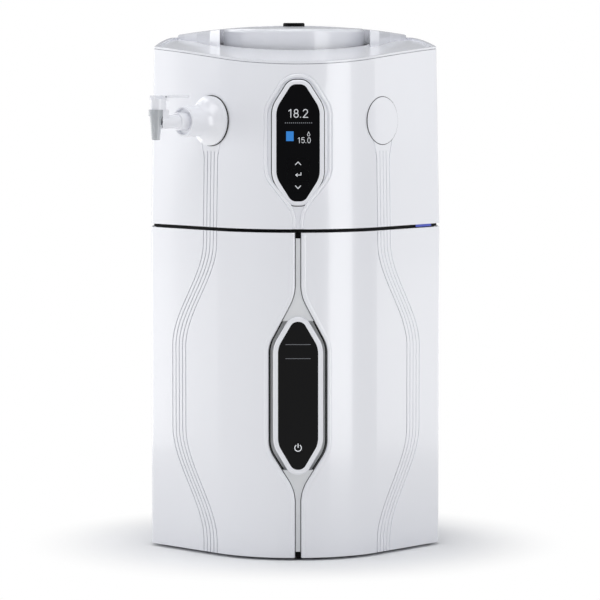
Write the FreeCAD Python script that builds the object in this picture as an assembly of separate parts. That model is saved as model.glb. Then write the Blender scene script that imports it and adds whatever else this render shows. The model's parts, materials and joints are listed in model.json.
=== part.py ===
import FreeCAD, Part
import math
import os

from FreeCAD import Vector

# Ultrapure water system: a lower cabinet with two doors and an upper module with reservoir, tap and display.
# Millimetres. While modelling, x is to the right, y is the depth behind the front plane and z is the height.

# Tolerances for finding edges and for joining outlines
shortest_edge = 1e-6
tolerance = 1e-3
surface_tolerance = 0.01

# Cabinet plan
case_width = 410.0
case_depth = 375.0
rear_narrowing = 50.0
front_radius = 150.0
facet_angle = math.radians(48.0)
corner_radius = 8.0
rear_radius = 24.0
wall = 3.0

# Heights
foot_height = 4.0
door_height = 452.0
door_top_gap = 1.0
deck_thickness = 4.0
front_rise = 229.8
corner_rise = 250.0
rear_rise = 262.0
draft_angle = math.radians(1.15)
flange_width = 12.0

# Doors and the channel between them
channel_width = 8.3
cutout_width = 80.6
cutout_low_tip = 97.0
cutout_low = 155.0
cutout_high = 300.0
cutout_high_tip = 369.0
cutout_bend = 44.0
channel_bend = 60.0
lip_radius = 4.0
door_flange = 14.0
door_end_behind_corner = 10.6
casing_gap = 4.0
hinge_from_corner = 8.0
hinge_behind_corner = 4.1
hinge_pin_radius = 2.5
hinge_clearance = 0.05
hinge_boss_radius = 6.0
hinge_boss_length = 13.0
hinge_pin_engagement = 12.0
hinge_arm_turn = 20.0
hinge_arm_half_width = 3.2
flange_end_before_hinge = 11.5

# Grooves on the facets
groove_count = 5
groove_pitch = 6.9
groove_width = 1.5
groove_depth = 0.9
groove_swing = 65.4
wave_low_start = 20.0
wave_low_end = 175.0
wave_high_start = 290.0
wave_high_end = 440.0
splay_length = 30.0
splay_width = 6.0
wave_steps = 28
splay_steps = 10

# Spine and pod
spine_front = 17.0
spine_thickness = 3.0
spine_width = 100.0
spine_neck = 48.0
strip_gap = 1.0
strip_front = 5.0
strip_end_gap = 8.0
pod_centre = 230.0
pod_window_width = 55.7
pod_straight = 135.0
pod_window_height = 206.0
pod_tip = 14.0
pod_front = 1.0
bezel_rim = 6.8
bezel_slope = 2.0
window_set_back = 0.8
window_thickness = 3.0
window_gap = 0.1
window_ledge = 2.0
panel_bend = 32.0
tip_bend = 11.5
power_radius = 8.0
power_below_centre = 72.5
key_gap = 0.3
key_depth = 6.0
board_thickness = 1.6
board_gap = 0.9

# Display
display_centre = 580.0
display_window_width = 60.0
display_straight = 95.0
display_window_height = 161.5
display_tip = 18.0
display_bezel_rim = 6.0
display_front = 2.0
display_bezel_depth = 17.0
display_trench = 1.2
basin_width = 93.0
basin_top = 675.0
basin_top_flat = 36.0
basin_top_bend = 31.0
basin_straight_low = 534.0
basin_straight_high = 628.0
basin_stem = 15.0
basin_stem_top = 484.0
basin_depth = 2.6
basin_bend = 38.0
basin_edge_radius = 1.6
basin_backing = 3.0
key_width = 30.0
key_height = 14.0
key_pitch = 16.2
key_row_centre = 535.0
key_bend = 3.0

# Top cover, island and lid
cover_edge = 2.5
cover_seam = 1.0
cover_rim = 5.0
cover_drop = 3.0
cover_thickness = 3.0
cover_fit = 0.3
lid_centre = 250.0
lid_radius = 102.0
lid_groove = 8.0
lid_top = 739.5
lid_dome = 3.5
lid_edge_radius = 5.0
lid_wall = 3.5
lid_skirt = 30.0
island_crown = 740.4
island_radius = 1050.0
island_floor = 690.0
island_edge_radius = 3.0
island_gap = 5.0
island_bend = 6.0
island_outline = [(104.0, 172.0), (121.0, 200.0), (140.0, 275.0), (158.0, 325.0), (170.0, 366.0)]

# Reservoir, level sensor and vent
tank_side_space = 60.0
tank_front = 108.0
tank_depth = 254.0
tank_height = 229.0
tank_wall = 3.0
tank_bend = 20.0
neck_radius = 92.0
neck_wall = 4.0
neck_top = 716.0
seal_thickness = 2.0
vent_body_radius = 13.5
vent_cap_radius = 15.5
vent_cap_height = 5.0
vent_body_height = 20.0
stem_from_wall = 35.0
stem_y = 205.0
stem_radius = 3.0
stem_height = 190.0
stem_foot_height = 4.0
stem_foot_radius = 10.0
float_radius = 14.0
float_height = 20.0
float_gap = 0.5
float_edge_radius = 2.0

# Tap on the left facet
tap_along_facet = 14.9
tap_height = 609.0
collar_radius = 34.5
collar_base = 2.5
collar_neck_radius = 21.5
collar_flare = 25.2
collar_length = 50.4
collar_bell_out = 9.4
collar_bell_radius = 3.5
collar_end_radius = 1.0
collar_recess_radius = 18.2
collar_recess_depth = 5.0
shank_radius = 9.5
shank_gap = 0.1
shank_inner_end = 16.0
tap_stub_radius = 12.3
tap_stub_end = 61.0
tap_stub_edge_radius = 1.5
tap_arm_radius = 9.5
tap_arm_end = 94.6
tap_bore_radius = 4.0
tap_riser_half_width = 7.6
spout_out = 99.6
spout_top = 626.0
spout_length = 41.5
spout_top_radius = 8.8
spout_tip_radius = 5.6
spout_flange_radius = 9.7
spout_flange_top = 9.0
spout_flange_height = 1.4
spout_bore_radius = 2.6
spout_gap = 0.1
bonnet_out = 95.1
bonnet_half_straight = 2.5
bonnet_radius = 9.0
bonnet_height = 15.0
lever_width = 11.0
lever_thickness = 3.4
lever_pivot_out = 87.1
lever_tip_out = 105.6
lever_tail_out = 43.1
lever_slot = 1.0
lever_pin_radius = 1.5
lever_ear_width = 3.0
lever_side_gap = 0.3
backnut_radius = 16.0
backnut_length = 8.0
tap_tube_radius = 4.5
tap_tube_run = 16.0
tap_tube_bend = 11.2

# Blanking disc on the right facet
blank_radius = 32.8
blank_gap = 0.5
blank_recess = 1.2
blank_proud = 0.8
blank_shank_length = 9.0

# Chassis and contents of the lower cabinet
pan_thickness = 4.0
pan_gap = 1.5
chassis_y = 236.0
chassis_thickness = 2.0
chassis_side_space = 27.0
pack_from_side = 100.0
pack_y = 165.0
pack_radius = 45.0
pack_bottom = 63.0
pack_shoulder = 317.0
pack_height = 337.0
pack_neck_radius = 20.0
pack_edge_radius = 4.0
pack_grip_half_width = 31.5
shelf_thickness = 3.0
shelf_margin = 2.0
shelf_gusset = 40.0
port_x = 18.0
port_height = 302.0
port_radius = 5.0
port_gap = 0.05
port_collar_radius = 8.0
port_engagement = 12.0
port_spare = 1.0
manifold_thickness = 20.0
manifold_height = 26.0
manifold_half_width = 36.0
vessel_x = 30.0
vessel_y = 205.0
vessel_radius = 26.0
vessel_cap_radius = 28.0
vessel_cap_height = 26.0
vessel_top = 400.0
cap_port_radius = 6.0
cap_port_height = 6.0
clip_height = 14.0
clip_wall = 3.0
clip_levels = (140.0, 320.0)
ro_from_side = 90.0
ro_y = 305.0
cell_radius = 9.0
cell_overhang = 9.0
pump_x = -60.0
pump_y = 290.0
pump_motor_radius = 34.0
pump_motor_height = 92.0
motor_fin_count = 8
pump_head_radius = 36.0
pump_head_height = 50.0
pump_port_length = 10.0
supply_size = (95.0, 45.0, 170.0)
supply_from_side = 87.0
supply_bottom = 250.0
supply_slot_count = 9
control_size = (103.0, 1.6, 190.0)
control_from_side = 91.0
control_bottom = 240.0
standoff_length = 6.0
standoff_radius = 4.0
# Each chip: left, bottom, width and height as shares of the board, then its thickness
board_chips = [
    (0.2, 0.15, 0.28, 0.12, 12.0),
    (0.62, 0.2, 0.2, 0.1, 4.0),
    (0.25, 0.45, 0.2, 0.11, 3.0),
    (0.62, 0.55, 0.24, 0.14, 14.0),
    (0.22, 0.75, 0.5, 0.06, 9.0),
]
tube_radius = 4.0
tube_bend = 12.0
tube_hole_gap = 1.0
tube_level = 440.0
tank_port_radius = 8.0
tank_port_drop = 16.0

# Rear connections and wall bracket
bay_side_space = 40.0
bay_low = 25.0
bay_high = 112.0
bay_depth = 28.0
fitting_height = 66.0
inlet_from_bay_end = 33.0
inlet_size = (48.0, 25.0, 26.0)
inlet_flange = (60.0, 34.0, 3.0)
inlet_mouth = (24.0, 16.5, 19.0)
inlet_pin = (4.0, 2.0, 12.0)
inlet_pin_spread = 7.0
inlet_pin_rise = 2.0
drain_from_bay_end = 87.0
fitting_pitch = 38.0
fitting_bore_radius = 4.05
fitting_bore_length = 15.0
fitting_body_radius = 9.0
fitting_body_length = 20.0
fitting_edge_radius = 1.5
fitting_shank_radius = 6.0
fitting_shank_length = 12.0
valve_size = (30.0, 34.0, 32.0)
valve_coil_radius = 13.0
valve_coil_height = 42.0
vent_slot_count = 8
vent_slot_width = 90.0
vent_slot_height = 4.0
vent_slot_pitch = 12.0
vent_slot_low = 180.0
bracket_width = 200.0
bracket_height = 60.0
bracket_thickness = 3.0
bracket_stand_off = 8.0
bracket_centre = 410.0
bracket_hole_radius = 3.0
bracket_hole_spacing_x = 160.0
bracket_hole_spacing_z = 32.0
screw_head_radius = 4.0
screw_head_height = 2.0
screw_shank_radius = 1.9
screw_from_side = 55.0

# Feet, light guide and magnets
foot_radius = 14.0
foot_edge_radius = 1.0
front_foot_from_side = 110.0
front_foot_depth = 100.0
rear_foot_from_side = 65.0
rear_foot_from_back = 37.0
light_from = 169.0
light_to = 192.0
light_gap = 0.3
light_out = 1.0
deck_inset = 4.0
magnet_size = (3.4, 2.7, 24.0)

# Places worked out from the sizes above
half_width = case_width / 2
rear_width = case_width - rear_narrowing
tank_width = case_width - 2 * tank_side_space
stem_x = stem_from_wall - tank_width / 2
pack_x = half_width - pack_from_side
ro_x = half_width - ro_from_side
supply_x = supply_from_side - half_width
control_x = half_width - control_from_side
chassis_half_width = half_width - chassis_side_space
bay_half_width = half_width - bay_side_space
inlet_x = inlet_from_bay_end - bay_half_width
drain_x = bay_half_width - drain_from_bay_end
feed_x = drain_x - fitting_pitch
screw_x = half_width - screw_from_side
front_foot = (half_width - front_foot_from_side, front_foot_depth)
rear_foot = (half_width - rear_foot_from_side, case_depth - rear_foot_from_back)
tangent_x = front_radius * math.sin(facet_angle)
tangent_y = front_radius * (1 - math.cos(facet_angle))
corner_y = tangent_y + (half_width - tangent_x) * math.tan(facet_angle)
door_bottom = foot_height
door_top = door_bottom + door_height
deck_bottom = door_top + door_top_gap
deck_top = deck_bottom + deck_thickness
pan_bottom = foot_height
pan_top = pan_bottom + pan_thickness
door_end = corner_y + door_end_behind_corner
casing_front = door_end + casing_gap
hinge_x = half_width - hinge_from_corner
hinge_y = corner_y + hinge_behind_corner
spine_back = spine_front + spine_thickness
chassis_back = chassis_y + chassis_thickness
bay_wall_y = case_depth - bay_depth
far_above = deck_top + 2 * rear_rise
upper_end = deck_top + rear_rise + 3 * wall
outside = case_width
tap_front = spout_flange_radius + spout_out * math.cos(facet_angle)
front_reach = tap_front - tangent_y - tap_along_facet * math.sin(facet_angle)
rear_reach = bracket_stand_off
front_place = front_reach - (front_reach + case_depth + rear_reach) / 2


def unit(u, v):
    length = math.hypot(u, v)
    return u / length, v / length


def rounded_wire(corners, to_space):
    # A closed outline through (u, v, radius) corners, with a tangent arc at each
    arcs = []
    for i, (u, v, radius) in enumerate(corners):
        before = corners[i - 1]
        after = corners[(i + 1) % len(corners)]
        a = unit(before[0] - u, before[1] - v)
        b = unit(after[0] - u, after[1] - v)
        half = math.acos(max(-1.0, min(1.0, a[0] * b[0] + a[1] * b[1]))) / 2
        reach = radius / math.tan(half)
        middle = unit(a[0] + b[0], a[1] + b[1])
        sagitta = radius / math.sin(half) - radius
        arcs.append([(u + d[0] * m, v + d[1] * m) for d, m in ((a, reach), (middle, sagitta), (b, reach))])
    edges = []
    for i, (start, middle, end) in enumerate(arcs):
        points = [to_space(*p) for p in (start, middle, end)]
        if points[0].distanceToPoint(points[2]) > shortest_edge:
            edges.append(Part.Arc(*points).toShape())
        following = to_space(*arcs[(i + 1) % len(arcs)][0])
        if points[2].distanceToPoint(following) > shortest_edge:
            edges.append(Part.makeLine(points[2], following))
    return Part.Wire(edges)


def inset_corners(corners, distance):
    # The same outline moved inwards, for corners that run anticlockwise, with arcs kept concentric
    lines = []
    for i, (u, v, radius) in enumerate(corners):
        after = corners[(i + 1) % len(corners)]
        d = unit(after[0] - u, after[1] - v)
        lines.append((u - d[1] * distance, v + d[0] * distance, d))
    moved = []
    for i, (u, v, radius) in enumerate(corners):
        pu, pv, pd = lines[i - 1]
        qu, qv, qd = lines[i]
        cross = pd[0] * qd[1] - pd[1] * qd[0]
        along = ((qu - pu) * qd[1] - (qv - pv) * qd[0]) / cross
        turned = radius - distance if cross > 0 else radius + distance
        moved.append((pu + pd[0] * along, pv + pd[1] * along, max(turned, 0.0)))
    return moved


def plan_corners(inset):
    apex_y = tangent_y - tangent_x * math.tan(facet_angle)
    half_rear = rear_width / 2
    corners = [
        (0.0, apex_y, front_radius),
        (half_width, corner_y, corner_radius),
        (half_rear, case_depth, rear_radius),
        (-half_rear, case_depth, rear_radius),
        (-half_width, corner_y, corner_radius),
    ]
    return inset_corners(corners, inset)


def plan_wire(inset, z):
    return rounded_wire(plan_corners(inset), lambda u, v: Vector(u, v, z))


def case_solid(inset, z0, z1):
    return Part.Face(plan_wire(inset, z0)).extrude(Vector(0, 0, z1 - z0))


def upper_solid(inset, z0=None, z1=None):
    # The drafted upper module, moved inwards by the inset
    low = deck_top if z0 is None else z0
    high = upper_end if z1 is None else z1
    wires = [plan_wire(inset + (z - deck_top) * math.tan(draft_angle), z) for z in (low, high)]
    return Part.makeLoft(wires, True, True)


def under_top(drop):
    # All that lies below the arched top surface, lowered by the drop
    points = [
        Vector(-outside, 0, deck_top + front_rise - drop),
        Vector(-outside, corner_y, deck_top + corner_rise - drop),
        Vector(-outside, case_depth, deck_top + rear_rise - drop),
    ]
    arch = Part.Arc(*points)
    low = Vector(-outside, 0, 0)
    back = Vector(-outside, case_depth, 0)
    sides = [Part.makeLine(points[2], back), Part.makeLine(back, low), Part.makeLine(low, points[0])]
    return Part.Face(Part.Wire([arch.toShape()] + sides)).extrude(Vector(2 * outside, 0, 0))


def front_prism(corners, y0, y1):
    wire = rounded_wire(corners, lambda u, v: Vector(u, y0, v))
    return Part.Face(wire).extrude(Vector(0, y1 - y0, 0))


def plan_prism(corners, z0, z1):
    wire = rounded_wire(corners, lambda u, v: Vector(u, v, z0))
    return Part.Face(wire).extrude(Vector(0, 0, z1 - z0))


def box(x0, x1, y0, y1, z0, z1):
    return Part.makeBox(x1 - x0, y1 - y0, z1 - z0, Vector(x0, y0, z0))


def rod(radius, base, direction, length):
    return Part.makeCylinder(radius, length, base, direction)


def upright(radius, x, y, z0, z1):
    return rod(radius, Vector(x, y, z0), Vector(0, 0, 1), z1 - z0)


def hexagon(centre, width, straight, height, tip, bend):
    # A tall six-sided outline with blunt tips, anticlockwise as seen from the front
    w, s, h, t = width / 2, straight / 2, height / 2, tip / 2
    half = [(t, -h), (w, -s), (w, s), (t, h)]
    points = half + [(-u, v) for u, v in reversed(half)]
    bends = [tip_bend, bend, bend, tip_bend] * 2
    return [(u, centre + v, r) for (u, v), r in zip(points, bends)]


def facet_point(side, along, z, out=0.0):
    # A point on the facet of one side, given by its distance from the front arc
    reach_x = tangent_x + along * math.cos(facet_angle) + out * math.sin(facet_angle)
    reach_y = tangent_y + along * math.sin(facet_angle) - out * math.cos(facet_angle)
    return Vector(side * reach_x, reach_y, z)


def facet_normal(side):
    return Vector(side * math.sin(facet_angle), -math.cos(facet_angle), 0)


def mirrored(shape):
    return shape.mirror(Vector(0, 0, 0), Vector(1, 0, 0))


def path_wire(points, bend):
    # Straight runs joined by tangent arcs
    edges = []
    start = points[0]
    for before, here, after in zip(points, points[1:], points[2:]):
        a = (before - here).normalize()
        b = (after - here).normalize()
        half = a.getAngle(b) / 2
        reach = bend / math.tan(half)
        middle = (a + b).normalize() * (bend / math.sin(half) - bend)
        edges.append(Part.makeLine(start, here + a * reach))
        edges.append(Part.Arc(here + a * reach, here + middle, here + b * reach).toShape())
        start = here + b * reach
    edges.append(Part.makeLine(start, points[-1]))
    return Part.Wire(edges)


def tube(points, radius, bend):
    spine = path_wire(points, bend)
    circle = Part.Wire(Part.makeCircle(radius, points[0], points[1] - points[0]))
    return spine.makePipeShell([circle], True, True)


def save(name, shape):
    placed = shape.copy()
    placed.translate(Vector(0, front_place, 0))
    if not placed.isValid():
        print("NOT VALID", name)
    placed.exportStep("parts/" + name + ".step")


# Lower cabinet: shells and frame


def base_pan():
    front = case_solid(door_flange + pan_gap, pan_bottom, pan_top)
    front = front.common(box(-outside, outside, 0, casing_front, pan_bottom, pan_top))
    rear = case_solid(wall, pan_bottom, pan_top)
    rear = rear.common(box(-outside, outside, casing_front + wall, case_depth, pan_bottom, pan_top))
    join_x = hinge_x - door_flange
    join = box(-join_x, join_x, casing_front - wall, casing_front + 2 * wall, pan_bottom, pan_top)
    return front.fuse([rear, join]).removeSplitter()


def feet():
    spots = [(s * x, y) for x, y in (front_foot, rear_foot) for s in (-1, 1)]
    solids = []
    for x, y in spots:
        foot = upright(foot_radius, x, y, 0, foot_height)
        rim = [e for e in foot.Edges if abs(e.BoundBox.ZMax) < shortest_edge]
        solids.append(foot.makeFillet(foot_edge_radius, rim))
    return Part.Compound(solids)


def connection_bay():
    # The recess in the rear wall that keeps the fittings inside the outline, as (hollow, lining)
    hollow = box(-bay_half_width, bay_half_width, bay_wall_y, case_depth + wall, bay_low, bay_high)
    lining = box(-bay_half_width - wall, bay_half_width + wall, bay_wall_y - wall, case_depth - wall / 2,
                 bay_low - wall, bay_high + wall)
    return hollow, lining


def rear_casing():
    # A shell with a folded front edge, and the separate box of the connection bay
    shell = case_solid(0, door_bottom, deck_bottom).cut(case_solid(wall, 0, far_above))
    shell = shell.common(box(-outside, outside, casing_front, case_depth, 0, far_above))
    edge = case_solid(0, door_bottom, deck_bottom).cut(case_solid(flange_width, 0, far_above))
    edge = edge.common(box(-outside, outside, casing_front, casing_front + wall, 0, far_above))
    hollow, lining = connection_bay()
    cuts = [hollow]
    width, height, _ = inlet_size
    cuts.append(box(inlet_x - width / 2, inlet_x + width / 2, bay_wall_y - 2 * wall, bay_wall_y + wall,
                    fitting_height - height / 2, fitting_height + height / 2))
    for x in (feed_x, drain_x):
        cuts.append(rod(fitting_shank_radius, Vector(x, bay_wall_y - 2 * wall, fitting_height),
                        Vector(0, 1, 0), 3 * wall))
    for i in range(vent_slot_count):
        z = vent_slot_low + i * vent_slot_pitch
        slot = [(x, zz, vent_slot_height / 2 - 0.01) for x, zz in (
            (vent_slot_width / 2, z), (vent_slot_width / 2, z + vent_slot_height),
            (-vent_slot_width / 2, z + vent_slot_height), (-vent_slot_width / 2, z))]
        cuts.append(front_prism(slot, case_depth - 2 * wall, case_depth + wall))
    for side in (-1, 1):
        cuts.append(rod(screw_shank_radius, Vector(side * screw_x, case_depth - 2 * wall,
                                                   bracket_centre), Vector(0, 1, 0), 3 * wall))
    shell = shell.fuse(edge)
    lining = lining.common(case_solid(wall, door_bottom, deck_bottom))
    return Part.Compound([shell.cut(cuts).removeSplitter(), lining.cut(cuts).removeSplitter()])


def mid_deck():
    deck = case_solid(deck_inset, deck_bottom, deck_top)
    holes = [
        upright(hinge_pin_radius, hinge_x, hinge_y, 0, far_above),
        upright(hinge_pin_radius, -hinge_x, hinge_y, 0, far_above),
        upright(tank_port_radius + tube_hole_gap, pump_x, pump_y, 0, far_above),
        upright(tap_tube_radius + tube_hole_gap, tap_riser().x, tap_riser().y, 0, far_above),
    ]
    return deck.cut(holes)


def seam_light():
    bar = case_solid(light_out, deck_bottom + light_gap, deck_top - light_gap)
    bar = bar.cut(case_solid(deck_inset, 0, far_above))
    return bar.common(box(light_from, light_to, 0, corner_y, 0, far_above))


def cutout_corners(gap=0.0):
    # The opening that the two doors leave for the channel and the pod, grown by the gap
    c, w = channel_width / 2, cutout_width / 2
    beyond = far_above
    half = [(c, -beyond, 0), (c, cutout_low_tip, channel_bend), (w, cutout_low, cutout_bend),
            (w, cutout_high, cutout_bend), (c, cutout_high_tip, channel_bend), (c, beyond, 0)]
    whole = half + [(-u, v, r) for u, v, r in reversed(half)]
    return inset_corners(whole, -gap)


def both_doors():
    outer = case_solid(0, door_bottom, door_top)
    hollow = case_solid(wall, door_bottom + wall, door_top - wall)
    opening = case_solid(door_flange, 0, far_above)
    shell = outer.cut([hollow, opening])
    # the flanges stop before the hinge, where they would sweep into the case
    flange_end = hinge_y - flange_end_before_hinge
    shell = shell.cut(case_solid(wall, 0, far_above).common(
        box(-outside, outside, flange_end, case_depth, 0, far_above)))
    rim = front_prism(cutout_corners(wall), -wall, door_flange)
    rim = rim.common(outer).cut(opening)
    bosses = []
    for side in (-1, 1):
        for z0 in (door_bottom, door_top - hinge_boss_length):
            bosses.append(upright(hinge_boss_radius, side * hinge_x, hinge_y, z0, z0 + hinge_boss_length))
    doors = shell.fuse([rim] + bosses)
    doors = doors.cut(front_prism(cutout_corners(), -wall, case_depth))
    doors = doors.common(box(-outside, outside, -wall, door_end, 0, far_above))
    bore_radius = hinge_pin_radius + hinge_clearance
    bores = [upright(bore_radius, side * hinge_x, hinge_y, 0, far_above) for side in (-1, 1)]
    return doors.cut(bores).removeSplitter()


def door(side):
    half = box(min(0, side * outside), max(0, side * outside), -wall, case_depth, 0, far_above)
    panel = both_doors().common(half)
    skin = case_solid(0, door_bottom, door_top).cut(case_solid(groove_depth, 0, far_above))
    grooves = [wave_ribbon(side, i).common(skin) for i in range(groove_count)]
    panel = round_lips(panel.Solids[0], side)
    return panel.cut(grooves)


def round_lips(panel, side):
    # Rounds the outer edge along the channel and the pod cut-out
    lips = []
    limit = cutout_width / 2 + wall
    for edge in panel.Edges:
        middle = edge.valueAt((edge.FirstParameter + edge.LastParameter) / 2)
        if abs(middle.x) > limit or not door_bottom + wall < middle.z < door_top - wall:
            continue
        on_front = abs(math.hypot(middle.x, middle.y - front_radius) - front_radius) < tolerance
        if on_front and edge.Length > 2 * wall:
            lips.append(edge)
    return panel.makeFillet(lip_radius, lips)


def smooth_step(value):
    t = max(0.0, min(1.0, value))
    return t * t * (3 - 2 * t)


def wave_swing(z):
    # How far the grooves have swung outwards at a height
    rise = smooth_step((wave_high_end - z) / (wave_high_end - wave_high_start))
    fall = smooth_step((z - wave_low_start) / (wave_low_end - wave_low_start))
    return groove_swing * min(rise, fall)


def groove_start(index):
    return tap_along_facet + (index - (groove_count - 1) / 2) * groove_pitch


def ribbon(side, places, width):
    # A thin upright ribbon through (along, z) places on a facet, cut square to it
    edges = []
    for half in (-width / 2, width / 2):
        points = [facet_point(side, along + half, z, wall) for along, z in places]
        curve = Part.BSplineCurve()
        curve.interpolate(points)
        edges.append(curve.toShape())
    low = Part.makeLine(edges[0].Vertexes[0].Point, edges[1].Vertexes[0].Point)
    high = Part.makeLine(edges[0].Vertexes[-1].Point, edges[1].Vertexes[-1].Point)
    face = Part.Face(Part.Wire([edges[0], high, edges[1], low]))
    return face.extrude(facet_normal(side) * (-6 * wall))


def wave_ribbon(side, index):
    low, high = door_bottom - wall, door_top + wall
    levels = [low + (high - low) * i / wave_steps for i in range(wave_steps + 1)]
    return ribbon(side, [(groove_start(index) + wave_swing(z), z) for z in levels], groove_width)


def hinge_pins(side):
    # The upper pin hangs from the deck, the lower one from an arm that stands on the pan
    top = upright(hinge_pin_radius, hinge_x, hinge_y, door_top - hinge_pin_engagement, deck_top)
    boss_top = door_bottom + hinge_boss_length
    arm_z = boss_top + door_top_gap
    pin = upright(hinge_pin_radius, hinge_x, hinge_y, boss_top - hinge_pin_engagement, arm_z)
    half = hinge_arm_half_width
    post_x = hinge_x - door_flange - 2 * wall
    arm = box(post_x, hinge_x, hinge_y - half, hinge_y + half, arm_z, arm_z + wall)
    end = upright(half, hinge_x, hinge_y, arm_z, arm_z + wall)
    post = box(post_x, post_x + wall, hinge_y - half, hinge_y + half, pan_top, arm_z)
    foot = box(post_x - 3 * wall, post_x + wall, hinge_y - half, hinge_y + half, pan_top, pan_top + wall)
    lower = pin.fuse([arm, end, post, foot]).removeSplitter()
    lower.rotate(Vector(hinge_x, hinge_y, 0), Vector(0, 0, 1), hinge_arm_turn)
    pair = Part.Compound([top, lower])
    return pair if side > 0 else mirrored(pair)


def front_spine():
    shoulder = door_top - wall - door_top_gap
    plate = box(-spine_width / 2, spine_width / 2, spine_front, spine_back, pan_top, shoulder)
    ribs = [box(-spine_neck / 2, spine_neck / 2, spine_front, spine_back, shoulder, deck_bottom)]
    for side in (-1, 1):
        edge = side * spine_width / 2
        ribs.append(box(min(edge, edge - side * wall), max(edge, edge - side * wall), spine_front,
                        spine_back + flange_width, pan_top, shoulder))
    low, high = door_bottom + strip_end_gap, door_top - strip_end_gap
    strip = front_prism(cutout_corners(-strip_gap), strip_front, spine_front)
    strip = strip.common(box(-cutout_width, cutout_width, 0, case_depth, low, high))
    pod_half = pod_window_height / 2 + bezel_rim - 2 * wall
    pod_zone = box(-cutout_width, cutout_width, 0, spine_front, pod_centre - pod_half, pod_centre + pod_half)
    strip = strip.cut([pod_zone, front_prism(pod_outline(bezel_rim), 0, spine_front)])
    return plate.fuse(ribs + [s for s in strip.Solids if s.BoundBox.XLength < cutout_width]).removeSplitter()


def door_magnets():
    width, depth, height = magnet_size
    solids = []
    x0 = channel_width / 2
    for side in (-1, 1):
        for z in (cutout_low_tip / 2, (cutout_high_tip + door_top) / 2):
            ends = sorted((side * x0, side * (x0 + width)))
            low, high = z - height / 2, z + height / 2
            solids.append(box(ends[0], ends[1], spine_front - depth, spine_front, low, high))
    return Part.Compound(solids)


# Switch pod and display


def pod_outline(grow=0.0):
    corners = hexagon(pod_centre, pod_window_width, pod_straight, pod_window_height, pod_tip, panel_bend)
    return inset_corners(corners, -grow)


def display_outline(grow=0.0):
    corners = hexagon(display_centre, display_window_width, display_straight, display_window_height,
                      display_tip, panel_bend)
    return inset_corners(corners, -grow)


def bezel(outline, rim, slope, front, back, board_seat):
    # A ring with a sloped outer edge, a ledge for the window and a seat for the board behind it
    body = front_prism(outline(rim), front + slope, back)
    nose_wires = []
    for grow, y in ((rim - slope, front), (rim, front + slope)):
        nose_wires.append(rounded_wire(outline(grow), lambda u, v, y=y: Vector(u, y, v)))
    nose = Part.makeLoft(nose_wires, True, True)
    ledge_y = front + window_set_back + window_thickness
    ring = body.fuse(nose)
    ring = ring.cut(front_prism(outline(), front - wall, ledge_y))
    ring = ring.cut(front_prism(outline(-window_ledge), ledge_y - wall, back + wall))
    ring = ring.cut(front_prism(outline(rim - wall), board_seat, back + wall))
    return ring.removeSplitter()


def pod_board_seat():
    return pod_front + window_set_back + key_depth + board_gap


def display_board_seat():
    return display_front + window_set_back + key_depth + board_gap


def pod_bezel():
    return bezel(pod_outline, bezel_rim, bezel_slope, pod_front, spine_front, pod_board_seat())


def pod_window():
    front = pod_front + window_set_back
    pane = front_prism(pod_outline(-window_gap), front, front + window_thickness)
    return pane.cut(rod(power_radius + key_gap, power_spot(0), Vector(0, 1, 0), spine_front))


def power_spot(y):
    return Vector(0, y, pod_centre - power_below_centre)


def power_button():
    front = pod_front + window_set_back
    cap = rod(power_radius, power_spot(front), Vector(0, 1, 0), key_depth - key_gap)
    stem = rod(power_radius / 3, power_spot(front), Vector(0, 1, 0), key_depth)
    return cap.fuse(stem).removeSplitter()


def display_bezel():
    slope = display_bezel_rim / 3
    seat = display_board_seat()
    return bezel(display_outline, display_bezel_rim, slope, display_front, display_bezel_depth, seat)


def key_outline(index, grow=0.0):
    w, h = key_width / 2, key_height / 2
    z = key_row_centre + (1 - index) * key_pitch
    corners = [(w, z - h, key_bend), (w, z + h, key_bend), (-w, z + h, key_bend), (-w, z - h, key_bend)]
    return inset_corners(corners, -grow)


def display_window():
    front = display_front + window_set_back
    pane = front_prism(display_outline(-window_gap), front, front + window_thickness)
    return pane.cut([front_prism(key_outline(i, key_gap), 0, display_bezel_depth) for i in range(3)])


def panel_key(index):
    front = display_front + window_set_back
    cap = front_prism(key_outline(index), front, front + key_depth - key_gap)
    centre = Vector(0, front, key_row_centre + (1 - index) * key_pitch)
    return cap.fuse(rod(key_height / 4, centre, Vector(0, 1, 0), key_depth)).removeSplitter()


def panel_boards():
    boards = []
    for outline, rim, seat in ((pod_outline, bezel_rim, pod_board_seat()),
                               (display_outline, display_bezel_rim, display_board_seat())):
        boards.append(front_prism(outline(rim - wall - window_gap), seat, seat + board_thickness))
    return Part.Compound(boards)


# Upper module: housing and cover


def basin_corners(grow=0.0):
    # The shallow basin round the display, with the stem that runs down to the seam
    w, s, t = basin_width / 2, basin_stem / 2, basin_top_flat / 2
    half = [(s, -far_above, 0), (s, basin_stem_top, basin_bend), (w, basin_straight_low, basin_bend),
            (w, basin_straight_high, basin_bend), (t, basin_top, basin_top_bend)]
    whole = half + [(-u, v, r) for u, v, r in reversed(half)]
    return inset_corners(whole, -grow)


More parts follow.
